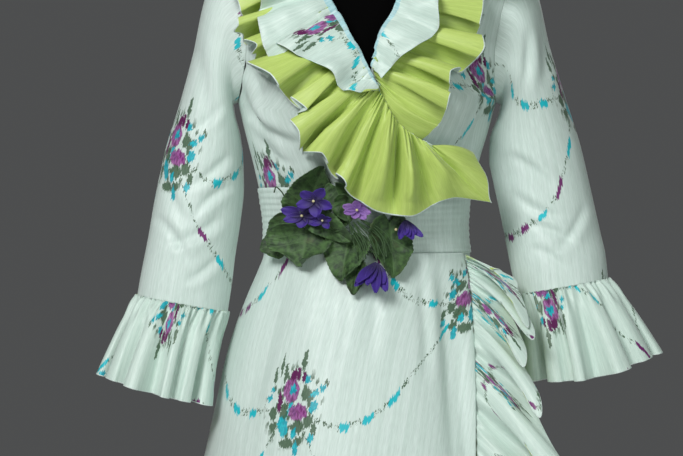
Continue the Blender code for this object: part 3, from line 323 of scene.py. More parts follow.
# Creases pressed into the cloth: which side, both ends across and up, how far the line bows,
# how wide it is and how deep. The ridge beside each has its height, place and width as shares of
# the trough's depth and width.
CREASE_RIDGE = (0.55, 1.8, 1.3)
CREASE_TAPER = 0.8
BODICE_CREASES = (
    ("front", -0.150, 1.236, -0.104, 1.150, -0.006, 0.0055, 0.0026),
    ("front", -0.146, 1.208, -0.078, 1.158, -0.008, 0.0060, 0.0028),
    ("front", -0.140, 1.186, -0.090, 1.134, -0.005, 0.0050, 0.0020),
    ("front", -0.150, 1.262, -0.120, 1.212, 0.004, 0.0050, 0.0018),
    ("front", -0.128, 1.150, -0.098, 1.112, 0.003, 0.0045, 0.0014),
    ("front", -0.112, 1.262, -0.086, 1.205, 0.006, 0.0090, 0.0014),
    ("front", 0.146, 1.216, 0.108, 1.146, 0.006, 0.0060, 0.0020),
    ("front", 0.152, 1.248, 0.120, 1.186, 0.004, 0.0050, 0.0016),
    ("front", 0.118, 1.160, 0.098, 1.113, -0.003, 0.0050, 0.0013),
    ("front", 0.128, 1.290, 0.112, 1.214, 0.006, 0.0090, 0.0012),
    ("back", -0.146, 1.222, -0.092, 1.150, 0.006, 0.0060, 0.0022),
    ("back", -0.138, 1.190, -0.070, 1.132, 0.008, 0.0055, 0.0018),
    ("back", 0.148, 1.226, 0.090, 1.156, -0.006, 0.0060, 0.0022),
    ("back", 0.140, 1.192, 0.074, 1.128, -0.006, 0.0055, 0.0018),
    ("back", -0.030, 1.330, -0.012, 1.180, 0.005, 0.0120, 0.0014),
    ("back", 0.040, 1.310, 0.024, 1.190, -0.004, 0.0110, 0.0012),
)
SKIRT_CREASES = (
    ("front", 0.086, 1.026, 0.104, 0.760, 0.004, 0.0100, 0.0040),
    ("front", 0.106, 1.020, 0.126, 0.700, -0.003, 0.0070, 0.0030),
    ("front", 0.062, 1.026, 0.070, 0.880, 0.003, 0.0070, 0.0018),
    ("front", -0.030, 1.024, -0.058, 0.860, 0.006, 0.0110, 0.0016),
    ("front", -0.096, 1.022, -0.150, 0.820, 0.008, 0.0120, 0.0022),
    ("front", 0.010, 1.024, 0.004, 0.900, 0.003, 0.0090, 0.0012),
    ("front", -0.060, 0.840, -0.110, 0.420, 0.010, 0.0170, 0.0030),
    ("front", 0.040, 0.820, 0.058, 0.350, 0.008, 0.0160, 0.0030),
    ("front", -0.160, 0.700, -0.235, 0.200, 0.010, 0.0180, 0.0036),
    ("front", -0.010, 0.560, -0.030, 0.100, 0.006, 0.0180, 0.0030),
    ("back", -0.080, 1.024, -0.120, 0.800, -0.006, 0.0110, 0.0024),
    ("back", 0.086, 1.024, 0.128, 0.780, 0.006, 0.0110, 0.0024),
    ("back", 0.012, 1.026, 0.010, 0.700, 0.004, 0.0120, 0.0030),
    ("back", -0.040, 0.800, -0.070, 0.250, 0.008, 0.0180, 0.0034),
    ("back", 0.060, 0.760, 0.100, 0.200, 0.008, 0.0180, 0.0034),
    ("back", -0.170, 0.620, -0.230, 0.120, 0.008, 0.0180, 0.0030),
)
SLEEVE_RIGHT_CREASES = (
    ("front", -0.170, 1.210, -0.206, 1.176, 0.004, 0.0050, 0.0016),
    ("front", -0.160, 1.150, -0.214, 1.108, 0.005, 0.0055, 0.0022),
    ("front", -0.158, 1.112, -0.206, 1.070, -0.005, 0.0050, 0.0020),
    ("front", -0.168, 1.076, -0.240, 1.040, 0.006, 0.0060, 0.0022),
    ("front", -0.252, 1.078, -0.206, 1.016, 0.005, 0.0055, 0.0018),
    ("front", -0.172, 1.030, -0.216, 0.996, 0.004, 0.0050, 0.0018),
    ("front", -0.244, 1.140, -0.210, 1.064, -0.004, 0.0060, 0.0014),
    ("front", -0.206, 1.290, -0.186, 1.150, 0.006, 0.0090, 0.0014),
    ("back", -0.240, 1.190, -0.180, 1.126, 0.006, 0.0060, 0.0024),
    ("back", -0.248, 1.136, -0.176, 1.086, -0.006, 0.0055, 0.0024),
    ("back", -0.256, 1.080, -0.186, 1.036, 0.005, 0.0055, 0.0022),
    ("back", -0.232, 1.270, -0.190, 1.170, 0.005, 0.0080, 0.0014),
)
SLEEVE_LEFT_CREASES = (
    ("front", 0.192, 1.300, 0.184, 1.214, 0.004, 0.0060, 0.0018),
    ("front", 0.206, 1.322, 0.212, 1.224, 0.005, 0.0080, 0.0014),
    ("front", 0.168, 1.150, 0.222, 1.104, 0.005, 0.0055, 0.0022),
    ("front", 0.172, 1.106, 0.232, 1.072, -0.005, 0.0055, 0.0020),
    ("front", 0.186, 1.068, 0.252, 1.040, 0.005, 0.0050, 0.0020),
    ("front", 0.262, 1.092, 0.222, 1.030, 0.005, 0.0055, 0.0016),
    ("front", 0.196, 1.040, 0.238, 1.010, 0.004, 0.0050, 0.0016),
    ("back", 0.246, 1.190, 0.186, 1.126, 0.006, 0.0060, 0.0024),
    ("back", 0.262, 1.136, 0.186, 1.090, -0.006, 0.0055, 0.0024),
    ("back", 0.272, 1.084, 0.206, 1.048, 0.005, 0.0055, 0.0022),
    ("back", 0.240, 1.270, 0.200, 1.170, 0.005, 0.0080, 0.0014),
)

# Corsage leaves: name, x, z, direction of the tip in degrees from +X, length, half width,
# stand-off at the base and at the tip. The middle one has two more beside it, under the ruffle.
LEAVES = (
    ("corsage_leaf_top", -0.0674, 1.0833, 68.0, 0.056, 0.021, 0.0080, 0.0100),
    ("corsage_leaf_left", -0.0870, 1.0720, 258.0, 0.052, 0.013, 0.0095, 0.0120),
    ("corsage_leaf_low", -0.0641, 1.0600, 265.0, 0.050, 0.029, 0.0120, 0.0150),
    ("corsage_leaf_middle", -0.0570, 1.0800, 318.0, 0.056, 0.016, 0.0170, 0.0195),
    ("corsage_leaf_middle", -0.0330, 1.1120, 292.0, 0.044, 0.014, 0.0125, 0.0130),
    ("corsage_leaf_middle", -0.0190, 1.0990, 262.0, 0.036, 0.012, 0.0135, 0.0140),
    ("corsage_leaf_inner", -0.0190, 1.0480, 262.0, 0.054, 0.024, 0.0095, 0.0110),
    ("corsage_leaf_tail", -0.0093, 1.0111, 262.0, 0.033, 0.010, 0.0145, 0.0155),
    ("corsage_leaf_right", 0.0262, 1.0681, 274.0, 0.070, 0.023, 0.0100, 0.0120),
)
# Violets: name, x, z, radius, turn of the petals in degrees, stand-off, depth of the cup
VIOLETS = (
    ("violet_upper", -0.0504, 1.0958, 0.0175, 20.0, 0.030, 0.004),
    ("violet_lower", -0.0640, 1.0775, 0.0175, 50.0, 0.022, 0.004),
    ("violet_half_open", -0.0415, 1.0715, 0.0105, 80.0, 0.0300, 0.004),
    ("violet_pale", -0.0088, 1.0840, 0.0125, 10.0, 0.0240, 0.003),
    ("violet_right", 0.0425, 1.0610, 0.0138, 40.0, 0.0200, 0.005),
    ("violet_hanging", 0.0095, 0.9990, 0.0175, 65.0, 0.0215, 0.005),
)
# Stems: points across, up and standing off
STEMS = {
    "corsage_stem_1": (
        (-0.0128, 1.069, 0.0235), (-0.004, 1.050, 0.0240),
        (0.002, 1.033, 0.0250), (0.004, 1.020, 0.0235),
    ),
    "corsage_stem_2": (
        (-0.0090, 1.070, 0.0235), (0.003, 1.055, 0.0240),
        (0.011, 1.038, 0.0250), (0.014, 1.021, 0.0235),
    ),
    "corsage_stem_3": (
        (-0.0050, 1.072, 0.0235), (0.009, 1.061, 0.0240),
        (0.019, 1.042, 0.0250), (0.023, 1.018, 0.0235),
    ),
    "corsage_stem_4": (
        (-0.0165, 1.068, 0.0240), (-0.012, 1.052, 0.0240),
        (-0.006, 1.034, 0.0240), (-0.004, 1.021, 0.0235),
    ),
    "corsage_stem_5": (
        (-0.0968, 1.106, 0.0160), (-0.094, 1.113, 0.0165),
        (-0.086, 1.104, 0.0165), (-0.083, 1.092, 0.0165),
    ),
}

# Torso: height and how far it lies inside the body surface. Neck: height and half sizes.
FORM_BOTTOM = 0.810
FORM_RINGS = (
    (FORM_BOTTOM, 0.046), (0.825, 0.036), (0.870, 0.026), (0.920, 0.015),
    (0.970, 0.008), (1.030, 0.0065), (1.075, 0.0065), (1.125, 0.0065),
    (1.170, 0.0065), (1.210, 0.0065), (1.260, 0.0065), (1.310, 0.0065),
    (1.350, 0.0085), (1.376, 0.0140), (1.392, 0.0180),
)
FORM_TOP = 1.505
FORM_NECK = (
    (1.408, 0.066, 0.056), (1.430, 0.055, 0.053), (1.490, 0.052, 0.052), (FORM_TOP, 0.045, 0.046),
)
FORM_NECK_CENTRE = (0.007, 0.012)
DOME_HEIGHT = 0.003

# Where a bouquet of the print lies on each piece: across and up, as seen from the front
BOUQUETS = {
    "bodice_front_right": (-0.108, 1.082),
    "bodice_front_left": (0.138, 1.232),
    "bodice_back": (0.020, 1.290),
    "waistband": (-0.030, 1.180),
    "skirt_front_right": (-0.084, 0.860),
    "skirt_front_left": (0.165, 0.900),
    "skirt_back": (0.050, 0.800),
    "sleeve_right": (-0.226, 1.158),
    "sleeve_left": (0.258, 1.236),
    "cuff_flounce_right": (-0.228, 0.962),
    "cuff_flounce_left": (0.214, 0.976),
    "neck_ruffle_right": (0.060, 1.120),
    "neck_ruffle_left": (0.118, 1.280),
    "neck_frill_right": (-0.047, 1.300),
    "neck_frill_left": (0.020, 1.395),
    "skirt_ruffle": (0.150, 0.960),
}

# Materials of a sheet: its face, its reverse, its edge and, on a frill, its binding
PANEL_CLOTH = ("printed_mint", "mint_reverse", "mint_reverse")
BAND_CLOTH = ("mint_reverse", "mint_reverse", "mint_reverse")
LINED_CLOTH = ("printed_mint_lined", "plain_chartreuse", "rolled_hem")
RUFFLE_CLOTH = ("plain_chartreuse", "printed_mint_lined", "rolled_hem")
FRILL_CLOTH = (*LINED_CLOTH, "neck_binding")

# How deep a sheet wanders in and out and over what length, and the margin that stays still
BODICE_WANDER = (0.0006, 0.05)
SKIRT_WANDER = (0.0012, 0.09)
SLEEVE_WANDER = (0.0010, 0.035)
FRILL_WANDER = (0.0017, 0.0046)
STILL_MARGIN = 0.08

# How finely each sheet is divided: rows up it, and columns across it or across one fold
BODICE_ROWS, FRONT_COLUMNS, BACK_COLUMNS = 96, 84, 110
BAND_ROWS, BAND_COLUMNS = 61, 241
SKIRT_ROWS, SKIRT_ROW_CROWDING = 130, 1.35
SKIRT_COLUMNS = {"skirt_front_left": 90, "skirt_front_right": 180, "skirt_back": 210}
SLEEVE_ROWS, SLEEVE_COLUMNS = 120, 109
FLOUNCE_ROWS, FLOUNCE_FOLD_COLUMNS = 44, 25
RUFFLE_ROWS, RUFFLE_FOLD_COLUMNS = 56, 40
FRILL_ROWS, FRILL_FOLD_COLUMNS = 44, 30
SKIRT_RUFFLE_ROWS, SKIRT_RUFFLE_FOLD_COLUMNS = 46, 26
LEAF_ROWS, LEAF_COLUMNS = 91, 25
PETAL_ROWS, PETAL_COLUMNS = 15, 13
FORM_ROWS, FORM_COLUMNS = 200, 145
BEAD_SIDES, BEAD_RINGS = 20, 12
STEM_POINTS = 16
POLE_SIDES, BASE_SIDES = 64, 128

# The tucked waistband: where its edges turn in, and the height, wander and crest of its tucks
BAND_TURNED_IN = -0.001
TUCK_HEIGHT = 0.0008
TUCK_WANDER = 0.0016
TUCK_CREST = 0.30
BAND_MARGIN = 0.006

# Warp printing: how wide a bundle of threads is, how far bundles and bands of them slip, and how
# ragged the motifs' edges are
THREAD_WIDTH = 0.0009
THREAD_SLIP = 0.0034
BAND_SLIP = 0.0110
RAGGED_ACROSS, RAGGED_UP = 0.0060, 0.0050
# The two garlands: which way each climbs, how far it sags, the distance between its buds and a
# number that shuffles them
SWAGS = ((1, -0.085, 0.026, 0.0), (-1, -0.070, 0.029, 7.0))
SWAG_DRIFT = 0.030
BUD_WIDTH, BUD_HEIGHT, BUD_DROP = 0.0036, 0.0056, 0.0012
# The bouquet, in millimetres from its middle: x, y, half width, half height
BOUQUET = (2, -6, 40, 52)
ROSES = ((-3, 13, 11, 15), (9, -13, 13, 10))
DARK_BUDS = ((-17, -1, 3, 13), (4, 34, 3, 8), (-2, 30, 4, 7), (12, 27, 3, 6))
BLUE_BLOOMS = (
    (-1, 13, 5, 6), (-7, -32, 6, 11), (-13, -25, 3, 7), (29, -7, 5, 7), (8, -38, 4, 6),
    (28, 9, 6, 4), (-31, 3, 4, 4), (-28, 13, 3, 3), (17, 25, 4, 5), (37, 15, 4, 4),
    (31, -44, 4, 5), (13, -56, 4, 8),
)
LEAF_BLADES = (
    (-20, 42, 2, 14), (9, 47, 3, 13), (-27, 30, 2, 10), (-14, 33, 2, 12), (20, 7, 9, 8),
    (-10, -12, 5, 11), (12, -30, 8, 9), (25, -24, 6, 7), (-24, -15, 5, 8), (0, -50, 10, 6),
    (33, -33, 3, 8), (-22, -30, 5, 6), (40, 22, 4, 3), (16, -46, 5, 5),
)

# Petals of each flower
PETALS = {
    "violet_lower": 6, "violet_right": 7, "violet_hanging": 8, "violet_half_open": 4, "violet_pale": 7,
}
COMMON_PETALS = 5
PETAL_THICKNESS = 0.0005
PETAL_LAYER = 0.0024
PETAL_HALF_WIDTH = 0.37
# Flowers that hang their petals to one side: the fan's middle and width in degrees. Those petals
# start behind the flower's place and are longer, narrower and more loosely layered.
DROOPING = {"violet_hanging": (-97.0, 62.0), "violet_right": (-82.0, 44.0)}
DROOP_BACK, DROOP_LONGER, DROOP_NARROWER = 0.75, 1.72, 0.86
DROOP_LAYER = 0.0070
# Beads in the flowers, one of them away from its flower's middle
BEADS_APART = {"violet_right": (0.0305, 1.0590, 0.0215)}
BEAD_RADIUS = {"violet_half_open": 0.0013}
COMMON_BEAD_RADIUS = 0.0017
BEAD_LIFT, BEAD_FLATTER, BEAD_TILT = 0.0024, 0.82, 1.1
LEAF_THICKNESS = 0.0006
LEAF_VEINS = 5
LEAF_VEIN_SLANT = 0.30
# Strands of a bunch of stems: how far each lies across, up and off the first one
STRANDS = {"corsage_stem_5": ((0.0, 0.0, 0.0),)}
COMMON_STRANDS = (
    (0.0, 0.0, 0.0), (0.0042, -0.0016, -0.0012), (-0.0032, -0.0022, 0.0010), (0.0070, 0.0010, 0.0006),
)
THINNER_STRAND = 0.85

# Stitches of the form's cover, then the stand
STITCH_WIDTH, STITCH_HEIGHT = 0.0016, 0.0013
BASE_HEIGHT = 0.008
POLE_RIM, BASE_RIM = 0.0008, 0.002

# Stage: lights by name, place, size and colour, what they aim at, and the camera
SHADE_TINT = (0.90, 1.0, 0.95)
WHITE = (1.0, 1.0, 1.0)
LIGHTS = (
    ("key", (-1.4, -2.6, 3.0), 1.5, WHITE),
    ("fill", (1.6, -3.1, 1.4), 2.0, SHADE_TINT),
    ("rear", (0.8, 2.8, 2.6), 1.8, WHITE),
)
LIGHT_AIM = (0.0, 0.0, 1.0)
FLOOR_WIDTH = 14.0
CAMERA_PLACE = (-0.0282, -3.6, 1.0612)
CAMERA_LENS = 158.1


# Shapes shared by the pieces


def smooth_curve(xs, ys, at):
    """A cubic through the points that doesn't overshoot them."""
    xs = np.asarray(xs, float)
    ys = np.asarray(ys, float)
    at = np.clip(np.asarray(at, float), xs[0], xs[-1])
    steps = np.diff(xs)
    slopes = np.diff(ys) / steps
    tangents = np.zeros_like(ys)
    tangents[0], tangents[-1] = slopes[0], slopes[-1]
    for i in range(1, len(xs) - 1):
        if slopes[i - 1] * slopes[i] > 0:
            before, after = 2 * steps[i] + steps[i - 1], steps[i] + 2 * steps[i - 1]
            tangents[i] = (before + after) / (before / slopes[i - 1] + after / slopes[i])
    i = np.clip(np.searchsorted(xs, at, side="right") - 1, 0, len(xs) - 2)
    u = (at - xs[i]) / steps[i]
    return (
        ys[i] * (1 + 2 * u) * (1 - u) ** 2
        + tangents[i] * steps[i] * u * (1 - u) ** 2
        + ys[i + 1] * u * u * (3 - 2 * u)
        + tangents[i + 1] * steps[i] * u * u * (u - 1)
    )


def column(table, columns, name):
    """One column of a table. A row that leaves out its last value has none there."""
    i = columns.index(name)
    return [row[i] if i < len(row) else 0.0 for row in table]


def smooth_step(low, high, at):
    u = np.clip((np.asarray(at, float) - low) / (high - low), 0, 1)
    return u * u * (3 - 2 * u)


def section(z):
    """Side reach at -X and +X, and depth to the front and to the back, at a height."""
    heights = column(SECTIONS, SECTION_COLUMNS, "height")
    return [
        smooth_curve(heights, column(SECTIONS, SECTION_COLUMNS, name), z)
        for name in SECTION_COLUMNS[1:]
    ]


def bare_body(angle, z):
    """Points of the body surface, before any stand-off."""
    left, right, front, back = section(z)
    depth = np.where(np.sin(angle) >= 0, front, back)
    x = (left + right) / 2 + (right - left) / 2 * np.cos(angle)
    return np.stack([x, -depth * np.sin(angle), z + 0 * x], axis=-1)


def fullness(angle, z):
    """How far darts and the skirt's soft folds push the cloth out."""
    up = np.exp(-(((z - DART_HEIGHT) / DART_SPREAD_HEIGHT) ** 2))
    round_body = sum(
        np.exp(-(((np.degrees(angle) - at) / DART_SPREAD_ANGLE) ** 2)) for at in DART_ANGLES
    )
    down = np.clip((WAIST_SEAM - z) / (WAIST_SEAM - HEM), 0, 1) ** SKIRT_FOLD_GROWTH
    folds = 0.5 + 0.5 * np.cos(SKIRT_FOLDS * angle + SKIRT_FOLD_PHASE)
    return DART_FULLNESS * up * round_body + SKIRT_FOLD_DEPTH * down * folds


def on_body(angle, z, stand):
    """Points that stand off the body surface along its normal. Angles are in radians."""
    angle, z, stand = np.broadcast_arrays(
        np.asarray(angle, float), np.asarray(z, float), np.asarray(stand, float)
    )
    step = 1e-4
    around = bare_body(angle + step, z) - bare_body(angle - step, z)
    up = bare_body(angle, z + step) - bare_body(angle, z - step)
    normal = np.cross(up, around)
    normal /= np.linalg.norm(normal, axis=-1, keepdims=True)
    return bare_body(angle, z) + normal * (stand + fullness(angle, z))[..., None]


def angle_across(x, z):
    """The angle of the front surface's point that is x across."""
    left, right, _, _ = section(z)
    return np.arccos(np.clip((x - (left + right) / 2) / ((right - left) / 2), -1, 1))


def on_front(x, z, stand):
    """Points of the front that lie so far across and up."""
    return on_body(angle_across(x, z), z, stand)


def lap(angle, z):
    """Extra stand-off of a front that wraps over the other, none near its own side seam."""
    x = bare_body(angle, z)[..., 0]
    drop = np.clip((WAIST_SEAM - z) / (WAIST_SEAM - HEM), 0, 1)
    return (LAP_AT_WAIST + LAP_GROWTH * drop) * smooth_step(LAP_FROM, LAP_TO, x)


def grid_normals(grid):
    """Unit normals of a grid of points, on the side where columns turn into rows."""
    along = np.gradient(grid, axis=1)
    up = np.gradient(grid, axis=0)
    normal = np.cross(along, up)
    return normal / np.maximum(np.linalg.norm(normal, axis=-1, keepdims=True), 1e-9)


def ripple(a, b, seed, waves=6):
    """A soft wander between about -1 and 1 over two coordinates, made of a few sine waves."""
    dice = np.random.default_rng(seed)
    total = 0.0
    for _ in range(waves):
        turn, phase = dice.uniform(0, math.pi), dice.uniform(0, 2 * math.pi)
        pitch = dice.uniform(0.6, 1.6)
        total = total + np.sin((a * math.cos(turn) + b * math.sin(turn)) * pitch + phase)
    return total / math.sqrt(waves * 2)


def slow_waves(turn, waves):
    """A sum of waves round a tube, each given as its size, number and phase."""
    return sum(size * np.sin(number * turn + phase) for size, number, phase in waves)


def press_creases(grid, rows):
    """Moves a grid of points along its normals into troughs, each with a soft ridge beside it."""
    strength = bpy.context.scene.dress_cloth.crease_strength
    ridge_height, ridge_place, ridge_width = CREASE_RIDGE
    normal = grid_normals(grid)
    x, z = grid[..., 0], grid[..., 2]
    push = np.zeros(x.shape)
    for side, x0, z0, x1, z1, bow, width, depth in rows:
        length = math.hypot(x1 - x0, z1 - z0)
        ax, az = (x1 - x0) / length, (z1 - z0) / length
        along = ((x - x0) * ax + (z - z0) * az) / length
        off = (z - z0) * ax - (x - x0) * az - 4 * bow * along * (1 - along)
        taper = np.sin(math.pi * np.clip(along, 0, 1)) ** CREASE_TAPER
        facing = smooth_step(-0.1, 0.3, -normal[..., 1] if side == "front" else normal[..., 1])
        trough = -np.exp(-((off / width) ** 2))
        ridge = ridge_height * np.exp(-(((off - ridge_place * width) / (ridge_width * width)) ** 2))
        push += depth * (trough + ridge) * taper * facing
    return grid + normal * (strength * push)[..., None]


def lengths_along(grid, axis):
    """Length so far along each row (axis 1) or column (axis 0) of a grid of points."""
    steps = np.linalg.norm(np.diff(grid, axis=axis), axis=-1)
    start = np.zeros_like(np.take(steps, [0], axis=axis))
    return np.concatenate([start, np.cumsum(steps, axis=axis)], axis=axis)


def flat_cut(grid, straight_row=None, middle_column=None):
    """Each point's place in the flat cloth, in metres. A gathered strip is laid out by one row."""
    across = lengths_along(grid, 1)
    if straight_row is not None:
        across = np.broadcast_to(across[straight_row], across.shape)
    elif middle_column is not None:
        across = across - across[:, [middle_column]]
    return np.stack([across, lengths_along(grid, 0)], axis=-1)


def place_print(name, grid, cut):
    """Shifts a flat cut so that a bouquet of the print lies at the piece's own place."""
    inks = bpy.context.scene.dress_print
    x, z = BOUQUETS[name]
    side = -1.0 if name.endswith("back") else 1.0
    wrong_side = 0.25 * np.maximum(side * grid[..., 1], 0)
    miss = (grid[..., 0] - x) ** 2 + (grid[..., 2] - z) ** 2 + wrong_side
    i, j = np.unravel_index(np.argmin(miss), miss.shape)
    return cut - cut[i, j] + np.array([inks.repeat_width / 2, inks.repeat_height / 2])


def select_only(thing):
    bpy.ops.object.select_all(action="DESELECT")
    thing.select_set(True)
    bpy.context.view_layer.objects.active = thing


def apply_modifiers(thing):
    select_only(thing)
    for modifier in list(thing.modifiers):
        bpy.ops.object.modifier_apply(modifier=modifier.name)


def measured_sheet(grid):
    """Works out the flat size that a sheet's cloth measures, without keeping it.

    Width and length are the middle ones of its rows' and columns' lengths, and a flared sheet is
    made wide enough to hold most of its area."""
    across, up = lengths_along(grid, 1), lengths_along(grid, 0)
    a, b = grid[:-1, :-1], grid[1:, 1:]
    c, d = grid[:-1, 1:], grid[1:, :-1]
    area = 0.5 * np.linalg.norm(np.cross(b - a, d - c), axis=-1).sum()
    width, length = (round(float(np.median(size)), 3) for size in (across[:, -1], up[-1]))
    width = max(width, round(0.9 * float(area) / length, 3))


def loose_patch(grid, cut):
    """A primitive grid whose points are laid on the worked-out ones, with its flat map."""
    rows, columns = grid.shape[:2]
    bpy.ops.object.select_all(action="DESELECT")
    bpy.ops.mesh.primitive_grid_add(
        x_subdivisions=columns - 1, y_subdivisions=rows - 1, size=1.0, calc_uvs=True
    )
    thing = bpy.context.object
    mesh = thing.data
    mesh.vertices.foreach_set("co", grid.reshape(-1).astype(np.float32))
    corner = np.zeros(len(mesh.loops), np.int32)
    mesh.loops.foreach_get("vertex_index", corner)
    flat = cut.reshape(-1, 2)[corner].reshape(-1)
    mesh.uv_layers[0].name = "cut"
    mesh.uv_layers[0].data.foreach_set("uv", flat.astype(np.float32))
    mesh.update()
    return thing


def name_piece(thing, name):
    thing.name = thing.data.name = name


def edit_whole(thing, *steps):
    """Runs steps on all of a mesh in edit mode, each an operator and its settings."""
    select_only(thing)
    bpy.ops.object.mode_set(mode="EDIT")
    bpy.ops.mesh.select_all(action="SELECT")
    for operator, settings in steps:
        operator(**settings)
    bpy.ops.object.mode_set(mode="OBJECT")


def merge_doubles(thing, distance=0.00002):
    edit_whole(thing, (bpy.ops.mesh.remove_doubles, {"threshold": distance}))
    bpy.ops.object.shade_smooth()


def thicken(thing, thickness, inwards=False):
    """Gives a patch its wall. One that goes inwards shows the next materials inside and at its rim."""
    wall = thing.modifiers.new("wall", "SOLIDIFY")
    wall.thickness = thickness
    wall.use_even_offset = False
    wall.offset = 0.0
    if inwards:
        wall.offset = -1.0
        wall.material_offset = 1
        wall.material_offset_rim = 2
    apply_modifiers(thing)


def cloth_sheet(name, grid, cut, cloth, held, rests_on, closed=False, edge_rows=0, bound_rows=0):
    """A thin cloth piece, one of the dress's sheets, of materials that are given by name.

    edge_rows are the rows at the free edge that show the rolled hem, and bound_rows those at the
    root that are bound."""
    rows, columns = grid.shape[:2]
    thing = loose_patch(grid, cut)
    name_piece(thing, name + "_cloth")
    for material in cloth:
        thing.data.materials.append(dress_materials()[material])
    if edge_rows:
        index = np.zeros(len(thing.data.polygons), np.int32)
        index[(rows - 1 - edge_rows) * (columns - 1):] = 2
        index[: bound_rows * (columns - 1)] = 3
        thing.data.polygons.foreach_set("material_index", index)
        thing.data.update()
    if closed:
        merge_doubles(thing, 0.00001)
    bpy.ops.object.shade_smooth()
    thicken(thing, bpy.context.scene.dress_cloth.thickness, inwards=True)
    measured_sheet(grid)
    dress_piece(thing, name)


def dress_piece(thing, *nodes):
    """A finished piece rides on the one body and stands for its solids, which it hides."""
    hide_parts(*nodes)
    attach(thing, "root")


# Sheets of each piece, as grids of points. Columns run towards +X on the front.


def panel(start, end, columns, layer=None):
    """Points between two edges, each an (angles, heights) pair of arrays."""
    share = np.linspace(0, 1, columns)[None, :]
    angle = start[0][:, None] * (1 - share) + end[0][:, None] * share
    z = start[1][:, None] * (1 - share) + end[1][:, None] * share
    return on_body(angle, z, CLOTH_FACE + (layer(angle, z) if layer else 0.0))


def finer(edge, rows):
    """An edge's angles and heights at so many rows."""
    index = np.arange(len(edge[0]), dtype=float)
    at = np.linspace(0, len(edge[0]) - 1, rows)
    return smooth_curve(index, edge[0], at), smooth_curve(index, edge[1], at)


def neck_edge(table):
    z = np.array(column(table, EDGE_COLUMNS, "height"))
    x = np.array(column(table, EDGE_COLUMNS, "across"))
    return angle_across(x, z), z


def skirt_edge_angle(z):
    heights = column(SKIRT_EDGE, EDGE_COLUMNS, "height")
    return angle_across(smooth_curve(heights, column(SKIRT_EDGE, EDGE_COLUMNS, "across"), z), z)


def soften(grid, depth, pitch, seed):
    """Lets a sheet wander in and out a little away from its edges, so that none of it is dead flat."""
    lift = depth * ripple(grid[..., 0] / pitch, grid[..., 2] / (1.6 * pitch), seed)
    lift = lift * np.minimum(1.0, edge_share(grid) / STILL_MARGIN)
    return grid + grid_normals(grid) * lift[..., None]


def edge_share(grid):
    """How far each point is from the nearest edge, as a share of the sheet."""
    rows, columns = grid.shape[:2]
    i, j = np.linspace(0, 1, rows)[:, None], np.linspace(0, 1, columns)[None, :]
    return np.minimum(np.minimum(i, 1 - i), np.minimum(j, 1 - j))


def sleeve_ring(row, psi):
    """One ring, from the outer line round the front to the inner line and back."""
    outer_x, outer_z, inner_x, inner_z, depth, forward = row
    outer, inner = np.array([outer_x, forward, outer_z]), np.array([inner_x, forward, inner_z])
    centre, reach = (outer + inner) / 2, (outer - inner) / 2
    across = np.cos(psi)[:, None] * reach
    return centre + across + np.sin(psi)[:, None] * np.array([0.0, -depth, 0.0])


def armhole_ring(side, psi):
    """The armhole's edge, where the sleeve starts."""
    reach = np.where(np.sin(psi) >= 0, math.radians(ARMHOLE_FRONT), math.radians(ARMHOLE_BACK))
    cut = reach * np.sin(psi)
    angle = cut if side > 0 else math.pi - cut
    return on_body(angle, ARMHOLE_MIDDLE + ARMHOLE_HALF * np.cos(psi), CLOTH_FACE)


def loft(rings, rows):
    """A smooth sheet of so many rows through a set of rings."""
    rings = np.array(rings)
    index = np.arange(len(rings), dtype=float)
    at = np.linspace(0, len(rings) - 1, rows)
    fine = [
        [smooth_curve(index, rings[:, j, k], at) for k in range(3)] for j in range(rings.shape[1])
    ]
    return np.array(fine).transpose(2, 0, 1)


def sleeve_grid(table, side):
    """Rings from the armhole down to the cuff seam, with the last column on the first."""
    psi = np.linspace(0, 2 * math.pi, SLEEVE_COLUMNS)
    rings = [sleeve_ring(row, psi) for row in table]
    hole = armhole_ring(side, psi)
    for i, share in enumerate(SLEEVE_HEAD):
        step = np.array([i * side * SLEEVE_HEAD_STEP, 0.0, 0.0])
        rings[i] = share * (hole + step) + (1 - share) * rings[i]
    return loft(rings, SLEEVE_ROWS)


def flounce_grid(top_row, hem_row, sag, drop):
    """A gathered cuff: fine puckers under its seam that run together into deeper folds."""
    columns = FLOUNCE_FOLDS * FLOUNCE_FOLD_COLUMNS + 1
    phase = np.linspace(0, 2 * math.pi * FLOUNCE_FOLDS, columns)
    turn = phase / FLOUNCE_FOLDS
    swell, drift = slow_waves(turn, FLOUNCE_SWELL), slow_waves(turn, FLOUNCE_DRIFT)
    crest = 2 * rounded(phase, 0.5) - 1.2
    small = np.sin(3 * phase + 1.1 * np.sin(7 * turn))
    grid = []
    for share in edge_spaced(FLOUNCE_ROWS, FLOUNCE_ROLL):
        flare = share**0.8
        row = [a * (1 - flare) + b * flare for a, b in zip(top_row, hem_row)]
        for i in (1, 3):
            row[i] = top_row[i] * (1 - share) + hem_row[i] * share - SEAM_GAP
        lean = drift * share**0.5 - FLOUNCE_OVERHANG * share * np.sin(2 * phase)
        psi = (phase + lean) / FLOUNCE_FOLDS
        ring = sleeve_ring(row, psi)
        outward = ring - ring[:-1].mean(axis=0)
        outward /= np.linalg.norm(outward, axis=1, keepdims=True)
        depth = FLOUNCE_GATHER + (FLOUNCE_FOLD_DEPTH - FLOUNCE_GATHER) * share**0.7
        pucker = FLOUNCE_PUCKER * math.exp(-((share - 0.07) / 0.16) ** 2)
        wave = depth * crest * (1 + 1.4 * swell * share) + pucker * small
        ring = ring + outward * wave[:, None]
        ring[:, 2] -= share * (sag * np.sin(psi) ** 2 + drop * np.clip(-np.sin(psi), 0, 1))
        grid.append(ring)
    return np.array(grid)


def rounded(phase, power):
    """A fold from 0 to 1 with a full top and a narrow valley."""
    return (0.5 + 0.5 * np.sin(phase)) ** power


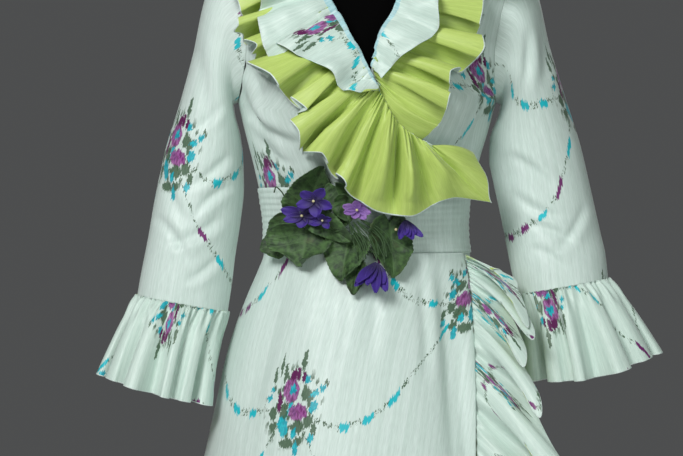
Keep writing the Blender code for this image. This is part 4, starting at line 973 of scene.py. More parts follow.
def edge_spaced(rows, edge):
    """Shares from 0 to 1 with a last step only as wide as the rolled hem."""
    return np.append(np.linspace(0, 1 - edge, rows), 1.0)


def ruffle_guides(table):
    """The number of folds, and a function of the phase for each of a ruffle's columns."""
    root, edge = [], []
    for place, root_at, root_z, edge_at, edge_z in [row[:5] for row in table]:
        on_front = place == "front"
        root.append(angle_across(root_at, root_z) if on_front else math.radians(root_at))
        edge.append(angle_across(edge_at, edge_z) if on_front else math.radians(edge_at))
    folds = column(table, RUFFLE_COLUMNS, "folds")
    values = {name: column(table, RUFFLE_COLUMNS, name) for name in RUFFLE_COLUMNS}
    values |= {"root": root, "edge": edge}
    turns = np.array(folds) * 2 * math.pi
    return folds[-1], lambda name, phase: smooth_curve(turns, values[name], phase)


def ruffle_grid(table, root_stand, fold_columns, rows, overhang, pucker, pull, calm=None):
    """A fluted strip that follows the body, gathered at its root and open at its edge.

    calm gives the folds from which, and past which, its edge runs out smooth."""
    folds, guide = ruffle_guides(table)
    phase = np.linspace(0, 2 * math.pi * folds, int(round(folds * fold_columns)) + 1)
    uneven = 1 + 0.22 * np.sin(0.37 * phase + 1.0) + 0.12 * np.sin(0.81 * phase)
    smooth = smooth_step(*calm, phase / (2 * math.pi)) if calm else 0 * phase
    full = np.clip((guide("depth", phase) - 0.0025) / 0.005, 0, 1) * (1 - smooth)
    gathers = (0.5 + 0.5 * np.sin(3.3 * phase + 1.6 * np.sin(0.9 * phase))) ** 0.8
    gather_length = 0.17 + 0.16 * (0.5 + 0.5 * np.sin(1.7 * phase + 1.0))
    grid = []
    for share in edge_spaced(rows, RUFFLE_ROLL):
        shift = overhang * uneven * np.sin(2 * phase) + RUFFLE_LEAN * rounded(phase, 0.6)
        place = phase - full * share * shift
        reach = 1 + 0.04 * share - pull * full * share**2 * rounded(phase, 0.8)
        across = (guide("edge", place) - guide("root", place)) * reach
        up = (guide("edge_z", place) - guide("root_z", place)) * reach
        bow = 4 * share * (1 - share) * guide("bow", place)
        length = np.hypot(BODY_RADIUS * across, up)
        angle = guide("root", place) + across * share + bow * up / length / BODY_RADIUS
        z = guide("root_z", place) + up * share - bow * BODY_RADIUS * across / length
        stand = root_stand * (1 - share) + np.maximum(guide("stand", place), root_stand) * share
        opening = share * (1 - smooth) + smooth * (0.2 * share + math.sin(math.pi * share**0.8))
        depth = RUFFLE_GATHER + (RUFFLE_DEEPER * guide("depth", place) - RUFFLE_GATHER) * opening
        fold = 2 * rounded(phase, 0.6) * (1 + RUFFLE_UNEVEN * share * np.sin(0.47 * phase + 2.0))
        pinch = pucker * np.exp(-((share / gather_length) ** 2)) * gathers
        dent = RUFFLE_DENT * np.sin(1.3 * phase + 5 * share + 0.7) * math.sin(math.pi * share)
        grid.append(on_body(angle, z, stand + depth * fold + pinch + dent))
    return np.array(grid)


def skirt_ruffle_grid():
    """The gathered ruffle on the skirt's wrap edge, whose folds hang down and outwards."""
    names = SKIRT_RUFFLE_COLUMNS
    turns = np.array(column(SKIRT_RUFFLE, names, "folds")) * 2 * math.pi

    def guide(name, phase):
        return smooth_curve(turns, column(SKIRT_RUFFLE, names, name), phase)

    columns = int(round(turns[-1] / (2 * math.pi) * SKIRT_RUFFLE_FOLD_COLUMNS)) + 1
    phase = np.linspace(0, turns[-1], columns)
    spacing = np.gradient(guide("root_z", phase), phase)
    tip = rounded(phase + SKIRT_RUFFLE_TIP_SHIFT, 0.5)
    small = 0.5 + 0.5 * np.sin(4 * phase + np.sin(0.8 * phase))
    pinch_length = 0.20 + 0.12 * np.sin(1.3 * phase)
    grid = []
    for share in edge_spaced(SKIRT_RUFFLE_ROWS, SKIRT_RUFFLE_ROLL):
        depth = SKIRT_RUFFLE_GATHER + (guide("depth", phase) - SKIRT_RUFFLE_GATHER) * share**0.8
        height = SKIRT_RUFFLE_PUFF * depth * 2 * rounded(phase, 0.55)
        place = phase - SKIRT_RUFFLE_OVERHANG * share * np.sin(2 * phase)
        place = place - SKIRT_RUFFLE_LEAN * share * (height - depth) / spacing
        root_z = guide("root_z", np.clip(place, 0, turns[-1]))
        edge = skirt_edge_angle(root_z)
        root = on_body(edge - SKIRT_RUFFLE_GAP, root_z, CLOTH_FACE + lap(edge, root_z))
        spread = 1 + share**1.4 * (0.54 * tip - 0.42)
        across, down = guide("reach", phase) * spread, guide("drop", phase) * spread
        reach = np.stack([across, -guide("forward", phase), -down], axis=-1)
        height = height + SKIRT_RUFFLE_PUCKER * np.exp(-((share / pinch_length) ** 2)) * small
        grid.append(root + reach * share + height[:, None] * np.array(SKIRT_RUFFLE_OUTWARD))
    return np.array(grid)


# Materials


def maths(operation):
    return lambda self, *others: self.paint.node("Math", {"operation": operation}, self, *others)


def reflected(operation):
    return lambda self, other: self.paint.node("Math", {"operation": operation}, other, self)


class Wire:
    """A shader value that can be used in arithmetic."""

    def __init__(self, paint, output):
        self.paint, self.output = paint, output

    def other(self, name):
        return Wire(self.paint, self.output.node.outputs[name])

    __add__ = __radd__ = maths("ADD")
    __mul__ = __rmul__ = maths("MULTIPLY")
    __sub__, __rsub__ = maths("SUBTRACT"), reflected("SUBTRACT")
    __truediv__, __rtruediv__ = maths("DIVIDE"), reflected("DIVIDE")
    __pow__, __mod__, __abs__ = maths("POWER"), maths("FLOORED_MODULO"), maths("ABSOLUTE")
    __lt__, __gt__ = maths("LESS_THAN"), maths("GREATER_THAN")
    floor, cos, sin = maths("FLOOR"), maths("COSINE"), maths("SINE")
    least, most = maths("MINIMUM"), maths("MAXIMUM")


class Paint:
    """Builds one material's nodes."""

    def __init__(self, name):
        self.material = bpy.data.materials.new(name)
        self.material.use_nodes = True
        self.tree = self.material.node_tree
        self.shader = self.tree.nodes["Principled BSDF"]

    def plug(self, socket, value):
        if isinstance(value, Wire):
            self.tree.links.new(value.output, socket)
        elif isinstance(value, (int, float)):
            socket.default_value = value
        else:
            socket.default_value = (*value, 1.0)[: len(socket.default_value)]

    def node(self, kind, settings=None, *values, **named):
        """A node with its settings made and its sockets filled, as its first output."""
        node = self.tree.nodes.new("ShaderNode" + kind)
        for key, value in (settings or {}).items():
            setattr(node, key, value)
        for socket, value in zip(node.inputs, values):
            self.plug(socket, value)
        for key, value in named.items():
            self.plug(node.inputs[key.replace("_", " ")], value)
        return Wire(self, node.outputs[0])

    def mix(self, share, first, second):
        node = self.tree.nodes.new("ShaderNodeMix")
        node.data_type = "RGBA"
        for socket, value in ((0, share), (6, first), (7, second)):
            self.plug(node.inputs[socket], value)
        return Wire(self, node.outputs[2])

    def vector(self, operation, *values):
        return self.node("VectorMath", {"operation": operation}, *values)

    def cut(self):
        """Place in the flat cloth in metres, or across and along a leaf or petal."""
        return self.node("UVMap", {"uv_map": "cut"})

    def body(self):
        """Place on the object, for finishes that have no flat cloth."""
        return self.node("TexCoord").other("Object")

    def parts(self, vector):
        """The X of a vector or a colour, whose Y and Z are its other outputs."""
        return self.node("SeparateXYZ", None, vector)

    def joined(self, x, y, z=0.0):
        return self.node("CombineXYZ", None, x, y, z)

    def chance(self, number):
        """A random value for each whole number."""
        return self.node("TexWhiteNoise", {"noise_dimensions": "1D"}, W=number)

    def dabs(self, place, scale):
        """Distance from scattered points, with a random colour for each as another output."""
        return self.node("TexVoronoi", {"voronoi_dimensions": "2D"}, Vector=place, Scale=scale)

    def bump(self, height, strength, distance):
        return self.node("Bump", None, Height=height, Strength=strength, Distance=distance)

    def noise(self, place, scale, detail=2.0, roughness=0.5):
        return self.node("TexNoise", None, Vector=place, Scale=scale, Detail=detail, Roughness=roughness)

    def ramp(self, value, low, high, at_low=0.0, at_high=1.0):
        """A soft step from one value to another."""
        return self.node(
            "MapRange", {"interpolation_type": "SMOOTHSTEP"}, value, low, high, at_low, at_high
        )

    def finish(self, **sockets):
        for key, value in sockets.items():
            self.plug(self.shader.inputs[key.replace("_", " ")], value)
        return self.material


def flat_place(paint, across=1.0, up=1.0):
    """Place in the flat cloth, stretched for a texture's grain."""
    return paint.vector("MULTIPLY", paint.cut(), (across, up, 1.0))


def nearest(paint, place, blobs):
    """Distance from a set of ellipses in millimetres, 1 at the edge of the nearest one."""
    closest = None
    for x, y, half_width, half_height in blobs:
        moved = paint.vector("SUBTRACT", place, (x / 1000, y / 1000, 0.0))
        scaled = paint.vector("MULTIPLY", moved, (1000 / half_width, 1000 / half_height, 0.0))
        distance = paint.vector("LENGTH", scaled).other("Value")
        closest = distance if closest is None else closest.least(distance)
    return closest


def flower_print(paint, ground, inks):
    """Warp-printed bouquets in a half-drop repeat, joined by swags of leaves and buds.

    Each warp thread slips a little, which gives the motifs their feathered upper and lower edges."""
    flat = paint.cut()
    across = paint.parts(flat)
    slip = paint.chance((across / THREAD_WIDTH).floor())
    band = paint.noise(paint.vector("MULTIPLY", flat, (520.0, 9.0, 1.0)), 1.0, 1.0)
    drift = paint.parts(paint.noise(flat, 9.0, 1.0).other("Color"))
    slipped = across.other("Y") + (slip - 0.5) * THREAD_SLIP + (band - 0.5) * BAND_SLIP
    ragged = paint.parts(paint.noise(flat, 260.0, 1.0).other("Color"))
    slid = paint.joined(across, slipped)

    columns = across / inks.repeat_width
    number = columns.floor()
    odd = number % 2.0
    rows = slipped / inks.repeat_height + 0.5 * odd
    x = (columns - number - 0.5) * inks.repeat_width
    y = (rows - rows.floor() - 0.5) * inks.repeat_height
    local = paint.joined(
        x * (1.0 - 2.0 * odd) + (ragged - 0.5) * RAGGED_ACROSS,
        y + (ragged.other("Y") - 0.5) * RAGGED_UP,
    )

    def motif(blobs, inner=0.90):
        return paint.ramp(nearest(paint, local, blobs), 1.06, inner)

    dabs = paint.dabs(paint.vector("MULTIPLY", slid, (1.0, 0.62, 1.0)), 170.0)
    pick = paint.parts(dabs.other("Color"))
    bouquet = paint.ramp(nearest(paint, local, (BOUQUET,)), 1.08, 0.80)
    sprigs = paint.ramp(dabs, 0.46, 0.34) * (pick > 0.46) * bouquet
    leaf_colour = paint.mix(paint.noise(slid, 420.0, 1.0), inks.leaf_dark, inks.leaf_light)
    petals = paint.noise(paint.joined(across, slipped * 0.6), 330.0, 2.0)
    rose_colour = paint.mix(paint.ramp(petals, 0.40, 0.60), inks.purple, inks.mauve)
    blue = paint.mix(paint.ramp(petals, 0.42, 0.60), inks.turquoise_dark, inks.turquoise)
    line = swags(paint, inks, x, y, across, slid, drift)

    colour = ground
    for share, ink in (
        (line["leaves"], leaf_colour), (line["blue"], inks.turquoise), (line["mauve"], inks.purple),
        (sprigs.most(motif(LEAF_BLADES, 0.92)) * 0.92, leaf_colour),
        (motif(ROSES) * 0.94, rose_colour), (motif(DARK_BUDS), inks.plum),
        (motif(BLUE_BLOOMS) * 0.96, blue),
    ):
        colour = paint.mix(share, colour, ink)
    return colour


def swags(paint, inks, x, y, across, slid, drift):
    """Garlands from bouquet to bouquet: fine leaves along a sagging line, with small buds."""
    half = inks.repeat_height / 2
    slope = inks.repeat_height / inks.repeat_width / 2
    turn = math.pi / inks.repeat_width
    lean = (drift - 0.5) * SWAG_DRIFT
    dabs = paint.dabs(slid, 330.0)
    pick = paint.parts(dabs.other("Color"))
    found = {}
    for way, sag, pitch, seed in SWAGS:
        line = x * (way * slope) + abs((x * turn).sin()) * sag + lean
        off = (y - line + half) % (2 * half) - half
        leaves = paint.ramp(abs(off), 0.0046, 0.0030) * (pick > 0.52) * paint.ramp(dabs, 0.52, 0.38)
        stem = paint.ramp(abs(off), 0.0006, 0.0002) * (pick.other("Y") > 0.45)
        place = across / pitch
        chance = paint.chance(place.floor() + seed)
        bud_across = (abs(place - place.floor() - 0.5) - 0.10) * (pitch / BUD_WIDTH)
        bud_up = (off + BUD_DROP) / BUD_HEIGHT
        bud = paint.ramp((bud_across * bud_across + bud_up * bud_up) ** 0.5, 1.10, 0.80)
        parts = {
            "leaves": leaves.most(stem * 0.7), "blue": bud * (chance > 0.55),
            "mauve": bud * (chance < 0.32),
        }
        for key, value in parts.items():
            found[key] = found[key].most(value) if key in found else value
    return found


def rib_height(paint):
    """The fine ribs and soft crumple of taffeta, as a height."""
    ribs = paint.noise(flat_place(paint, 1500.0, 60.0), 1.0, 2.0)
    slubs = paint.noise(flat_place(paint, 60.0, 900.0), 1.0, 1.0)
    crumple = paint.noise(flat_place(paint), 34.0, 3.0, 0.55)
    return ribs * 0.10 + slubs * 0.05 + crumple * 0.85


def taffeta(name, ground, light, printed, roughness):
    """Crisp ribbed silk, printed or plain. light is the colour of its paler stripes."""
    paint = Paint(name)
    streaks = paint.noise(flat_place(paint, 260.0, 3.0), 1.0, 3.0, 0.65)
    base = paint.mix(paint.ramp(streaks, 0.36, 0.66), ground, light)
    if printed:
        base = flower_print(paint, base, bpy.context.scene.dress_print)
    # Painted shade and highlight of the fine ribs: a thread-fine noise darkens and lightens the base
    # colour a little, as light falling across the ribs would.
    rib_shade_noise = paint.noise(flat_place(paint, 1500.0, 80.0), 1.0, 1.0)
    shade = paint.ramp(rib_shade_noise, 0.25, 0.75, 0.90, 1.04)
    worn = paint.noise(flat_place(paint), 60.0, 2.0)
    return paint.finish(
        Base_Color=paint.vector("MULTIPLY", base, paint.joined(shade, shade, shade)),
        Roughness=paint.ramp(worn, 0.3, 0.7, roughness - 0.05, roughness + 0.06),
        Normal=paint.bump(rib_height(paint), 0.35, 0.0012),
        Sheen_Weight=0.25, Sheen_Roughness=0.35, Specular_IOR_Level=0.32,
    )


def edge_roll(name):
    """The thread-fine rolled hem of every free edge."""
    paint = Paint(name)
    stitches = paint.noise(flat_place(paint, 700.0, 200.0), 1.0, 1.0)
    colour = paint.mix(paint.ramp(stitches, 0.35, 0.65), (0.58, 0.70, 0.66), (0.74, 0.82, 0.79))
    return paint.finish(Base_Color=colour, Roughness=0.55, Normal=paint.bump(stitches, 0.4, 0.0004))


def leaf_cloth(name, settings):
    """Stiffened green cloth with pressed veins and browned blotches."""
    paint = Paint(name)
    axes = paint.parts(paint.cut())
    across, along = abs(axes), axes.other("Y")
    side = (along - across * LEAF_VEIN_SLANT) * LEAF_VEINS
    vein = abs(side - side.floor() - 0.5)
    rib = paint.ramp(across, 0.09, 0.02).most(paint.ramp(vein, 0.10, 0.02) * 0.7)
    body = paint.body()
    mottle = paint.noise(body, 130.0, 4.0, 0.6)
    blotch = paint.ramp(paint.noise(body, 60.0, 2.0), 0.58, 0.72)
    green = paint.mix(paint.ramp(mottle, 0.32, 0.68), settings.leaf_dark, settings.leaf_light)
    green = paint.mix(blotch * 0.45, green, settings.leaf_brown)
    height = paint.noise(body, 1400.0, 2.0) * 0.4 + mottle * 0.6 - rib * 0.5
    return paint.finish(
        Base_Color=paint.mix(rib * 0.45, green, settings.leaf_vein), Roughness=0.62,
        Normal=paint.bump(height, 0.5, 0.0008), Sheen_Weight=0.08,
    )


def petal_cloth(name, deep, bright):
    """Silk petal, deeper towards the flower's throat, with fine lengthwise veins."""
    paint = Paint(name)
    place = paint.cut()
    vein = paint.noise(paint.vector("MULTIPLY", place, (16.0, 2.0, 1.0)), 1.0, 2.0)
    share = paint.ramp(paint.parts(place).other("Y") + (vein - 0.5) * 0.5, 0.10, 0.85)
    return paint.finish(
        Base_Color=paint.mix(share, deep, bright), Roughness=0.62,
        Normal=paint.bump(vein, 0.4, 0.0005), Sheen_Weight=0.08, Sheen_Roughness=0.4,
    )


def plain_finish(name, colour, darker, grain, roughness, depth=0.0003):
    """A plain material with a fine grain, on Object coordinates."""
    paint = Paint(name)
    body = paint.body()
    fine = paint.noise(body, grain, 2.0)
    broad = paint.noise(body, 9.0, 2.0)
    return paint.finish(
        Base_Color=paint.mix(paint.ramp(broad, 0.35, 0.65), darker, colour),
        Roughness=paint.ramp(fine, 0.3, 0.7, roughness - 0.05, roughness + 0.05),
        Normal=paint.bump(fine, 0.3, depth),
    )


def jersey(name, colour):
    """Black knitted cover: rows of small stitches."""
    paint = Paint(name)
    axes = paint.parts(paint.cut())
    wale = (axes * (2 * math.pi / STITCH_WIDTH)).sin()
    course = (axes.other("Y") * (2 * math.pi / STITCH_HEIGHT)).sin()
    fleck = paint.noise(paint.body(), 500.0, 2.0)
    return paint.finish(
        Base_Color=paint.mix(fleck, colour, shaded(colour, 2.2)), Roughness=0.95,
        Normal=paint.bump(wale * 0.5 + course * wale * 0.3, 0.3, 0.0003), Specular_IOR_Level=0.06,
    )


def shaded(colour, share):
    return tuple(share * part for part in colour)


def material_once(make, name, *values):
    """A material that is made the first time that its name is asked for."""
    return bpy.data.materials.get(name) or make(name, *values)


def dress_materials():
    """The cloth materials, made once and found again by name."""
    if "printed_mint" not in bpy.data.materials:
        inks = bpy.context.scene.dress_print
        taffeta("printed_mint", inks.ground, inks.ground_light, True, 0.44)
        taffeta("printed_mint_lined", inks.lined_ground, inks.lined_light, True, 0.42)
        taffeta("mint_reverse", inks.ground, inks.ground_light, False, 0.5)
        taffeta("plain_chartreuse", inks.chartreuse, inks.chartreuse_light, False, 0.46)
        taffeta("neck_binding", inks.binding, inks.binding_light, False, 0.46)
        edge_roll("rolled_hem")
    return bpy.data.materials


# Builders of the pieces


def outside(grid, away):
    """The grid with its columns turned round where its normals would point inwards."""
    inwards = (grid_normals(grid) * away).sum() < 0
    return grid[:, ::-1] if inwards else grid


def outside_body(grid):
    return outside(grid, from_body_axis(grid))


def from_body_axis(grid):
    return grid * np.array([1.0, 1.0, 0.0])


def from_own_axis(grid):
    return grid - grid[:, :-1].mean(axis=1, keepdims=True)


def nearest_column(grid, x):
    """The column whose middle row lies nearest to x."""
    return int(np.argmin(np.abs(grid[len(grid) // 2, :, 0] - x)))


def printed_panel(name, grid, cloth, held, rests_on, straight_row=None, **sheet):
    """A cloth sheet whose flat cut is laid on the print by the piece's own bouquet."""
    cut = flat_cut(grid, straight_row, nearest_column(grid, BOUQUETS[name][0]))
    cloth_sheet(name, grid, place_print(name, grid, cut), cloth, held, rests_on, **sheet)


def gathered_strip(name, grid, cloth, carrier, **sheet):
    """A strip cut straight along its free edge, which shows a rolled hem."""
    printed_panel(name, grid, cloth, "gathered", [carrier], straight_row=-1, edge_rows=1, **sheet)


def bodice_side(side, cut_in, rows):
    """The side seam and armhole edge at so many rows, ending along the shoulder seam."""
    index = np.linspace(0, len(RIGHT_EDGE) - 1, rows)
    seam = np.clip(index / SIDE_SEAM_END, 0, 1)
    armhole = np.clip((index - SIDE_SEAM_END) / (ARMHOLE_END - SIDE_SEAM_END), 0, 1)
    turn = math.pi * (1 - armhole)
    z = np.where(
        seam < 1, (BAND_TOP + SEAM_GAP) * (1 - seam) + UNDERARM * seam,
        ARMHOLE_MIDDLE + ARMHOLE_HALF * np.cos(turn),
    )
    return side + cut_in * np.sin(turn), z


def bodice_front(side, turn, table, layer):
    cut = turn * math.radians(ARMHOLE_FRONT)
    edge = finer(neck_edge(table), BODICE_ROWS)
    grid = panel(bodice_side(side, cut, BODICE_ROWS), edge, FRONT_COLUMNS, layer)
    grid = outside_body(grid)
    grid = press_creases(soften(grid, *BODICE_WANDER, 11 + turn), BODICE_CREASES)
    grid[0, :, 2] -= TUCKED_IN
    grid[..., 1] = np.minimum(grid[..., 1], -SIDE_GAP)
    return grid


def shoulder_and_back_neck(columns):
    """The back's top row: up one shoulder seam, round the back neck and down the other."""
    share = np.linspace(-1, 1, columns)
    round_neck = np.clip(np.abs(share) / 0.5, 0, 1)
    down_shoulder = np.clip((np.abs(share) - 0.5) / 0.5, 0, 1)
    angle = 1.5 * math.pi + np.sign(share) * (math.pi / 2) * round_neck
    z = BACK_NECK + (NECK_POINT - BACK_NECK) * round_neck**2
    return on_body(angle, z - (NECK_POINT - SHOULDER_POINT) * down_shoulder, CLOTH_FACE)


def bodice_back():
    cut = math.radians(ARMHOLE_BACK)
    right = bodice_side(math.pi, cut, BODICE_ROWS)
    left = bodice_side(2 * math.pi, -cut, BODICE_ROWS)
    middle = np.full(BODICE_ROWS, 1.5 * math.pi), np.linspace(right[1][0], BACK_NECK, BODICE_ROWS)
    halves = panel(right, middle, BACK_COLUMNS // 2), panel(middle, left, BACK_COLUMNS // 2)[:, 1:]
    grid = np.concatenate(halves, axis=1)
    index = np.linspace(0, len(RIGHT_EDGE) - 1, BODICE_ROWS)
    below = int(np.argmax(index >= ARMHOLE_END))
    top, base = shoulder_and_back_neck(grid.shape[1]), grid[below].copy()
    for i in range(below, BODICE_ROWS):
        share = (index[i] - index[below]) / (index[-1] - index[below])
        grid[i] = base * (1 - share) + top * share
    grid = outside_body(grid)
    grid = press_creases(soften(grid, *BODICE_WANDER, 15), BODICE_CREASES)
    grid[0, :, 2] -= TUCKED_IN
    grid[..., 1] = np.maximum(grid[..., 1], SIDE_GAP)
    return grid


def waistband_grid():
    """Fine tucks laid across the band, each a soft fold that falls over the one below."""
    tucks = bpy.context.scene.dress_cloth.tucks
    angle = np.linspace(0, 2 * math.pi, BAND_COLUMNS)[None, :]
    low, high = WAIST_SEAM + SEAM_GAP, BAND_TOP
    z = np.linspace(low, high, BAND_ROWS)[:, None]
    inside = np.minimum(1.0, np.minimum(z - low, high - z) / BAND_MARGIN)
    wander = TUCK_WANDER * (np.sin(2 * angle + 0.4) + 0.6 * np.sin(5 * angle + 2.1)) * inside
    place = (z - low + wander) / (high - low) * tucks
    share = place - np.floor(place)
    rise = np.where(share < TUCK_CREST, share / TUCK_CREST, (1 - share) / (1 - TUCK_CREST)) ** 0.8
    height = TUCK_HEIGHT * (1 + 0.25 * np.sin(3 * angle + np.floor(place) * 2.2))
    stand = BAND_FACE + height * rise * np.minimum(1, inside * 1.5)
    stand[0] = stand[-1] = BAND_TURNED_IN
    grid = on_body(angle, z + 0 * angle, stand)
    return outside_body(grid)


def skirt_grid(start, end, columns, layer, seed):
    share = np.linspace(0, 1, SKIRT_ROWS) ** SKIRT_ROW_CROWDING
    z = (WAIST_SEAM - SEAM_GAP) - (WAIST_SEAM - SEAM_GAP - HEM) * share[::-1]
    grid = panel((start(z), z), (end(z), z), columns, layer)
    grid = outside_body(grid)
    grid = press_creases(soften(grid, *SKIRT_WANDER, seed), SKIRT_CREASES)
    grid[-1, :, 2] += TUCKED_IN
    return grid


# Corsage

def leaf_grid(row, seed):
    """A heart-shaped leaf, toothed at its edge, crumpled between its veins and curled a little."""
    x, z, turn, length, half_width, base, tip = row[1:]
    along = np.linspace(0.0, 1.0, LEAF_ROWS)[:, None]
    across = np.linspace(-1.0, 1.0, LEAF_COLUMNS)[None, :]
    aside = np.abs(across)
    outline = np.sin(math.pi * np.clip(0.04 + 0.94 * along**0.62, 0, 1)) ** 0.75
    teeth = 1 + 0.05 * (np.abs(np.sin(along * 44 + seed)) - 0.6) * aside**6
    width = (0.0012 + half_width * outline) * across * teeth
    reach = length * along - 0.16 * length * aside * (1 - along) ** 2
    px, pz = turned(x, z, math.radians(turn), reach, width)
    stand = base + (tip - base) * along + 0.34 * half_width * across**2
    stand = stand + 0.40 * half_width * across * np.sin(along * 3.0 + seed * 2.1)
    side_vein = np.cos(2 * math.pi * (along - LEAF_VEIN_SLANT * aside) * LEAF_VEINS)
    stand = stand - 0.0012 * np.exp(-((across / 0.12) ** 2)) - 0.0006 * side_vein * aside
    stand = stand + 0.0030 * ripple(along * 7, across * 2.8 + seed, 40 + seed) * aside**0.6
    stand = stand + 0.0040 * aside**3 * np.sin(along * 9 + seed * 1.7 + np.sign(across))
    stand = np.maximum(stand, 0.0055 + 0.12 * (stand - base))
    grid = outside_body(on_front(px, pz, stand))
    return grid, np.stack(np.broadcast_arrays(across, along), axis=-1)


def turned(x, z, heading, ahead, aside):
    """Places so far ahead and aside of a point, seen from the front."""
    cos, sin = math.cos(heading), math.sin(heading)
    return x + ahead * cos - aside * sin, z + ahead * sin + aside * cos


def join(things, name):
    select_only(things[0])
    for thing in things:
        thing.select_set(True)
    if len(things) > 1:
        bpy.ops.object.join()
    name_piece(bpy.context.object, name)
    return bpy.context.object


def petal_grid(row, number):
    """One rounded petal, cupped, with a shallow notch at its tip and a wavy rim."""
    name, x, z, radius, turn, stand, cup = row
    along = np.linspace(0, 1, PETAL_ROWS)[:, None]
    across = np.linspace(-1, 1, PETAL_COLUMNS)[None, :]
    petals = PETALS.get(name, COMMON_PETALS)
    heading = math.radians(turn + 360.0 / petals * number + 36.0) + 0.16 * math.sin(number * 2.3 + turn)
    reach = radius * (1.06 + 0.18 * math.sin(number * 1.9 + turn))
    outline = np.sin(math.pi * np.clip(0.03 + 0.89 * along**1.05, 0, 1)) ** 0.6
    spread = PETAL_HALF_WIDTH * radius * outline
    layer = PETAL_LAYER
    if name in DROOPING:
        middle, fan = (math.radians(degrees) for degrees in DROOPING[name])
        heading = middle + fan * (number / (petals - 1) - 0.5) * (-1) ** number
        x, z = turned(x, z, middle, -DROOP_BACK * radius, 0.0)
        reach, spread, layer = DROOP_LONGER * reach, DROOP_NARROWER * spread, DROOP_LAYER
    notch = 0.035 * np.exp(-((across / 0.22) ** 2)) * along**6
    ahead = reach * (along - 0.10 * across**2 * along - notch)
    px, pz = turned(x, z, heading, ahead, spread * across)
    rise = cup * along**1.5 - 0.0022 * (1 - across**2) * np.sin(math.pi * along)
    rise = rise + 0.0010 * np.sin(4.0 * across + number * 1.3) * along**2
    rise = rise + layer * ((number * 2) % petals) / petals * along + 0.0009 * across * along
    return on_front(px, pz, stand + rise), np.stack(np.broadcast_arrays(across, along), axis=-1)


def build_violet(row, settings):
    name, x, z, _, _, stand, _ = row
    petals = []
    for number in range(PETALS.get(name, COMMON_PETALS)):
        grid, cut = petal_grid(row, number)
        if (grid_normals(grid) * from_body_axis(grid)).sum() < 0:
            grid, cut = grid[:, ::-1], cut[:, ::-1]
        petals.append(loose_patch(grid, cut))
    flower = join(petals, name + "_petals")
    if name == "violet_pale":
        silk = ("pale_silk", settings.pale_deep, settings.pale_bright)
    else:
        silk = ("violet_silk", settings.violet_deep, settings.violet_bright)
    flower.data.materials.append(material_once(petal_cloth, *silk))
    merge_doubles(flower)
    thicken(flower, PETAL_THICKNESS)
    dress_piece(flower, name)
    if name == "violet_hanging":
        return
    x, z, stand = BEADS_APART.get(name, (x, z, stand))
    centre = on_front(x, z, stand + BEAD_LIFT)
    bead = small_bead(name + "_bead", centre, BEAD_RADIUS.get(name, COMMON_BEAD_RADIUS))
    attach(bead, "root")
    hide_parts(name)


def small_bead(name, centre, radius):
    """A cream bead: a sphere drawn in at both ends of its hole."""
    bpy.ops.object.select_all(action="DESELECT")
    bpy.ops.mesh.primitive_uv_sphere_add(
        segments=BEAD_SIDES, ring_count=BEAD_RINGS, radius=radius, calc_uvs=True
    )
    bead = bpy.context.object
    name_piece(bead, name)
    edit_whole(
        bead,
        (bpy.ops.transform.resize, {"value": (1.0, 1.0, BEAD_FLATTER)}),
        (
            bpy.ops.transform.rotate,
            {"value": BEAD_TILT, "orient_axis": "X", "center_override": (0, 0, 0)},
        ),
        (bpy.ops.transform.translate, {"value": tuple(centre)}),
    )
    bpy.ops.object.shade_smooth()
    settings = bpy.context.scene.dress_corsage
    bead.data.materials.append(
        material_once(plain_finish, "cream_bead", settings.bead, settings.bead_shade, 900.0, 0.35)
    )
    return bead


def build_stems(name, points, settings):
    """Thin wired stems that lie side by side, each one a bevelled curve made a mesh."""
    ends = np.arange(len(points), dtype=float)
    at = np.linspace(0, len(points) - 1, STEM_POINTS)
    share = at / at[-1]
    strands = []
    for i, (dx, dz, lift) in enumerate(STRANDS.get(name, COMMON_STRANDS)):
        x, z, stand = (smooth_curve(ends, [p[k] for p in points], at) for k in range(3))
        sway = 0.0016 * np.sin(share * 3.6 + i * 2.3 + len(points) * x[-1] * 900) * share
        x = x + dx * (0.05 + 1.25 * share) + sway
        z = z + dz * 3 * share
        route = on_front(x, z, stand + lift * 0.6)
        curve = bpy.data.curves.new(name + f"_strand_{i}", "CURVE")
        curve.dimensions = "3D"
        curve.bevel_depth = settings.stem_radius * (1.0 if i == 0 else THINNER_STRAND)
        curve.bevel_resolution = 3
        curve.use_fill_caps = True
        spline = curve.splines.new("POLY")
        spline.points.add(len(route) - 1)
        for point, place in zip(spline.points, route):
            point.co = (*place, 1.0)
        thing = bpy.data.objects.new(name + f"_strand_{i}", curve)
        bpy.context.scene.collection.objects.link(thing)
        select_only(thing)
        bpy.ops.object.convert(target="MESH")
        strands.append(bpy.context.object)
    bundle = join(strands, name + "_stems")
    bundle.data.materials.clear()
    stem = (settings.stem, shaded(settings.stem, 0.5), 700.0, 0.6)
    bundle.data.materials.append(material_once(plain_finish, "wrapped_stem", *stem))
    bpy.ops.object.shade_smooth()
    dress_piece(bundle, name)


# Dress form and stand

def form_grid():
    """The torso and neck as one smooth loft, closed at its foot and by a low dome on the neck."""
    angle = np.linspace(0, 2 * math.pi, FORM_COLUMNS)
    rings = [on_body(angle, np.full(len(angle), z), -inset) for z, inset in FORM_RINGS]
    rings[0][:, 2] = FORM_BOTTOM
    for z, half_width, half_depth in FORM_NECK:
        x = FORM_NECK_CENTRE[0] + half_width * np.cos(angle)
        y = FORM_NECK_CENTRE[1] - half_depth * np.sin(angle)
        rings.append(np.stack([x, y, np.full(len(angle), z)], axis=-1))
    body = loft(rings, FORM_ROWS)
    middle_low, middle_top = body[0].mean(axis=0), body[-1].mean(axis=0)
    low = [middle_low * (1 - s) + body[0] * s for s in (0.0, 0.25, 0.5, 0.75, 0.95)]
    top = [
        middle_top * (1 - s) + body[-1] * s + np.array([0, 0, DOME_HEIGHT * (1 - s * s)])
        for s in (0.96, 0.85, 0.65, 0.4, 0.2, 0.0)
    ]
    return np.concatenate([low, body, top])


